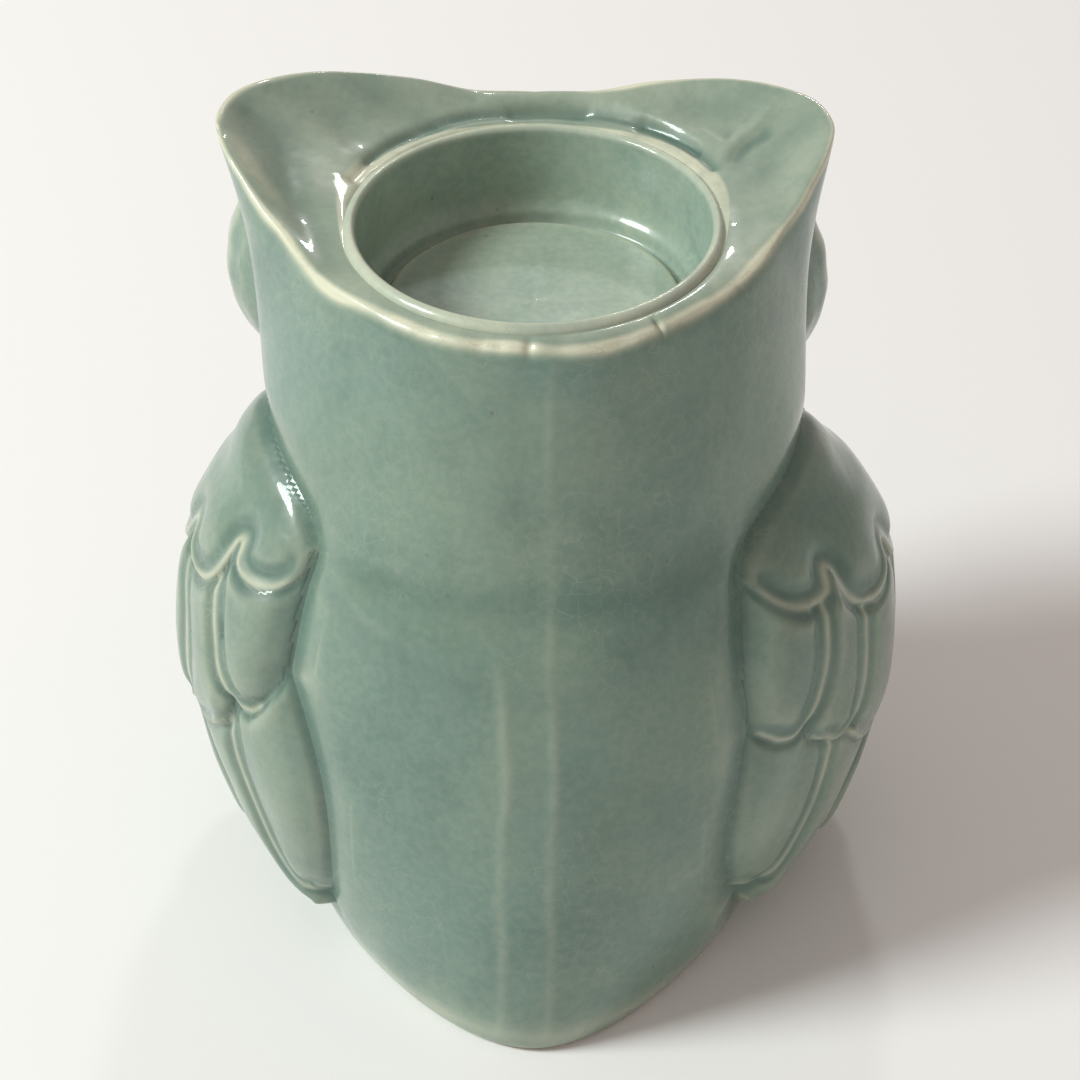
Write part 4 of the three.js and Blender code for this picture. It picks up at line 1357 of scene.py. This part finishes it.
class OWL_OT_base(bpy.types.Operator):
    """Make the bare clay base with its vent hole"""

    bl_idname = "owl.base"
    bl_label = "Base"

    def execute(self, context):
        base_piece(shared_material("bare_bisque", bisque_material, context.scene.owl_glaze))
        return {"FINISHED"}


class OWL_OT_face(bpy.types.Operator):
    """Make the ribbed discs round the eyes"""

    bl_idname = "owl.face"
    bl_label = "Facial Discs"

    def execute(self, context):
        for side_name in SIDES:
            disc_piece(side_name, body_glaze(context))
        return {"FINISHED"}


class OWL_OT_eyes(bpy.types.Operator):
    """Make the two domed eyes"""

    bl_idname = "owl.eyes"
    bl_label = "Eyes"

    def execute(self, context):
        for side_name in SIDES:
            eye_piece(side_name, body_glaze(context))
        return {"FINISHED"}


class OWL_OT_beak(bpy.types.Operator):
    """Make the hooked beak"""

    bl_idname = "owl.beak"
    bl_label = "Beak"

    def execute(self, context):
        beak_piece(body_glaze(context))
        return {"FINISHED"}


class OWL_OT_feet(bpy.types.Operator):
    """Make the two feet with three toes each"""

    bl_idname = "owl.feet"
    bl_label = "Feet"

    def execute(self, context):
        for side_name in SIDES:
            foot_piece(side_name, body_glaze(context))
        return {"FINISHED"}


# The camera: its place as x, t and z in mm, and how many degrees it looks down.
CAMERA_PLACE = (-0.7, 253.6, 254.9)
CAMERA_DIP = 39.3
SENSOR_WIDTH = 36
LIGHT_TARGET = Vector((0, 0, 0.06))
AIR_COLOUR = (1.0, 0.86, 0.81)


def area_light(name, place, size, power, colour):
    """A round soft light at a place in metres, turned to the owl's middle."""
    light = bpy.data.lights.new(name, "AREA")
    light.shape = "DISK"
    light.size = size
    light.energy = power
    light.color = colour
    lamp = bpy.data.objects.new(name, light)
    lamp.location = place
    lamp.rotation_euler = (LIGHT_TARGET - Vector(place)).to_track_quat("-Z", "Y").to_euler()
    bpy.context.scene.collection.objects.link(lamp)


class OWL_OT_studio(bpy.types.Operator):
    """Make the pale floor, the soft lights and the camera"""

    bl_idname = "owl.studio"
    bl_label = "Studio"

    def execute(self, context):
        scene = context.scene
        stage = scene.owl_stage
        bm = bmesh.new()
        bmesh.ops.create_grid(bm, x_segments=2, y_segments=2, size=stage.floor_size / 2)
        mesh = bpy.data.meshes.new("studio_floor")
        finish_mesh(bm, mesh)
        floor = bpy.data.objects.new("studio_floor", mesh)
        scene.collection.objects.link(floor)
        desk = NodeDesk("studio_floor")
        shader = desk.add("ShaderNodeBsdfPrincipled", {"Base Color": opaque(stage.floor_colour),
                                                       "Roughness": 0.9})
        mesh.materials.append(desk.close(shader))

        world = bpy.data.worlds.new("studio_air")
        scene.world = world
        world.use_nodes = True
        air = world.node_tree.nodes["Background"]
        air.inputs["Color"].default_value = opaque(AIR_COLOUR)
        air.inputs["Strength"].default_value = stage.fill_strength
        area_light("window_light", (1.02, 0.18, 0.95), 0.45, stage.key_power, (0.94, 1.0, 0.975))
        area_light("small_lamp", (-0.1, -0.85, 0.78), 0.1, 1.2, (1.0, 0.99, 0.97))

        lens = bpy.data.cameras.new("camera")
        lens.sensor_width = SENSOR_WIDTH
        lens.lens = stage.lens
        camera = bpy.data.objects.new("camera", lens)
        camera.location = placed(CAMERA_PLACE)
        camera.rotation_euler = (math.radians(90 - CAMERA_DIP), 0, math.pi)
        scene.collection.objects.link(camera)
        scene.camera = camera
        scene.view_settings.view_transform = "Standard"
        return {"FINISHED"}


class OWL_PT_maker(bpy.types.Panel):
    bl_idname = "OWL_PT_maker"
    bl_label = "Owl Tealight Holder"
    bl_space_type = "VIEW_3D"
    bl_region_type = "UI"
    bl_category = "Owl"

    def draw(self, context):
        for operator in PIECE_OPERATORS:
            self.layout.operator(operator.bl_idname)
        for group in (context.scene.owl_form, context.scene.owl_glaze, context.scene.owl_stage):
            box = self.layout.box()
            for name in group.__annotations__:
                box.prop(group, name)


PIECE_OPERATORS = (OWL_OT_body, OWL_OT_wings, OWL_OT_candle_cup, OWL_OT_cup_floor, OWL_OT_base, OWL_OT_face,
                   OWL_OT_eyes, OWL_OT_beak, OWL_OT_feet, OWL_OT_studio)
CLASSES = (OwlForm, OwlGlaze, OwlStage, *PIECE_OPERATORS, OWL_PT_maker)


def register():
    for one in CLASSES:
        bpy.utils.register_class(one)
    bpy.types.Scene.owl_form = bpy.props.PointerProperty(type=OwlForm)
    bpy.types.Scene.owl_glaze = bpy.props.PointerProperty(type=OwlGlaze)
    bpy.types.Scene.owl_stage = bpy.props.PointerProperty(type=OwlStage)


def unregister():
    del bpy.types.Scene.owl_stage
    del bpy.types.Scene.owl_glaze
    del bpy.types.Scene.owl_form
    for one in reversed(CLASSES):
        bpy.utils.unregister_class(one)


def main():
    register()
    bpy.ops.owl.body()
    bpy.ops.owl.wings()
    bpy.ops.owl.candle_cup()
    bpy.ops.owl.cup_floor()
    bpy.ops.owl.base()
    bpy.ops.owl.face()
    bpy.ops.owl.eyes()
    bpy.ops.owl.beak()
    bpy.ops.owl.feet()
    bpy.ops.owl.studio()


if __name__ == "__main__":
    main()
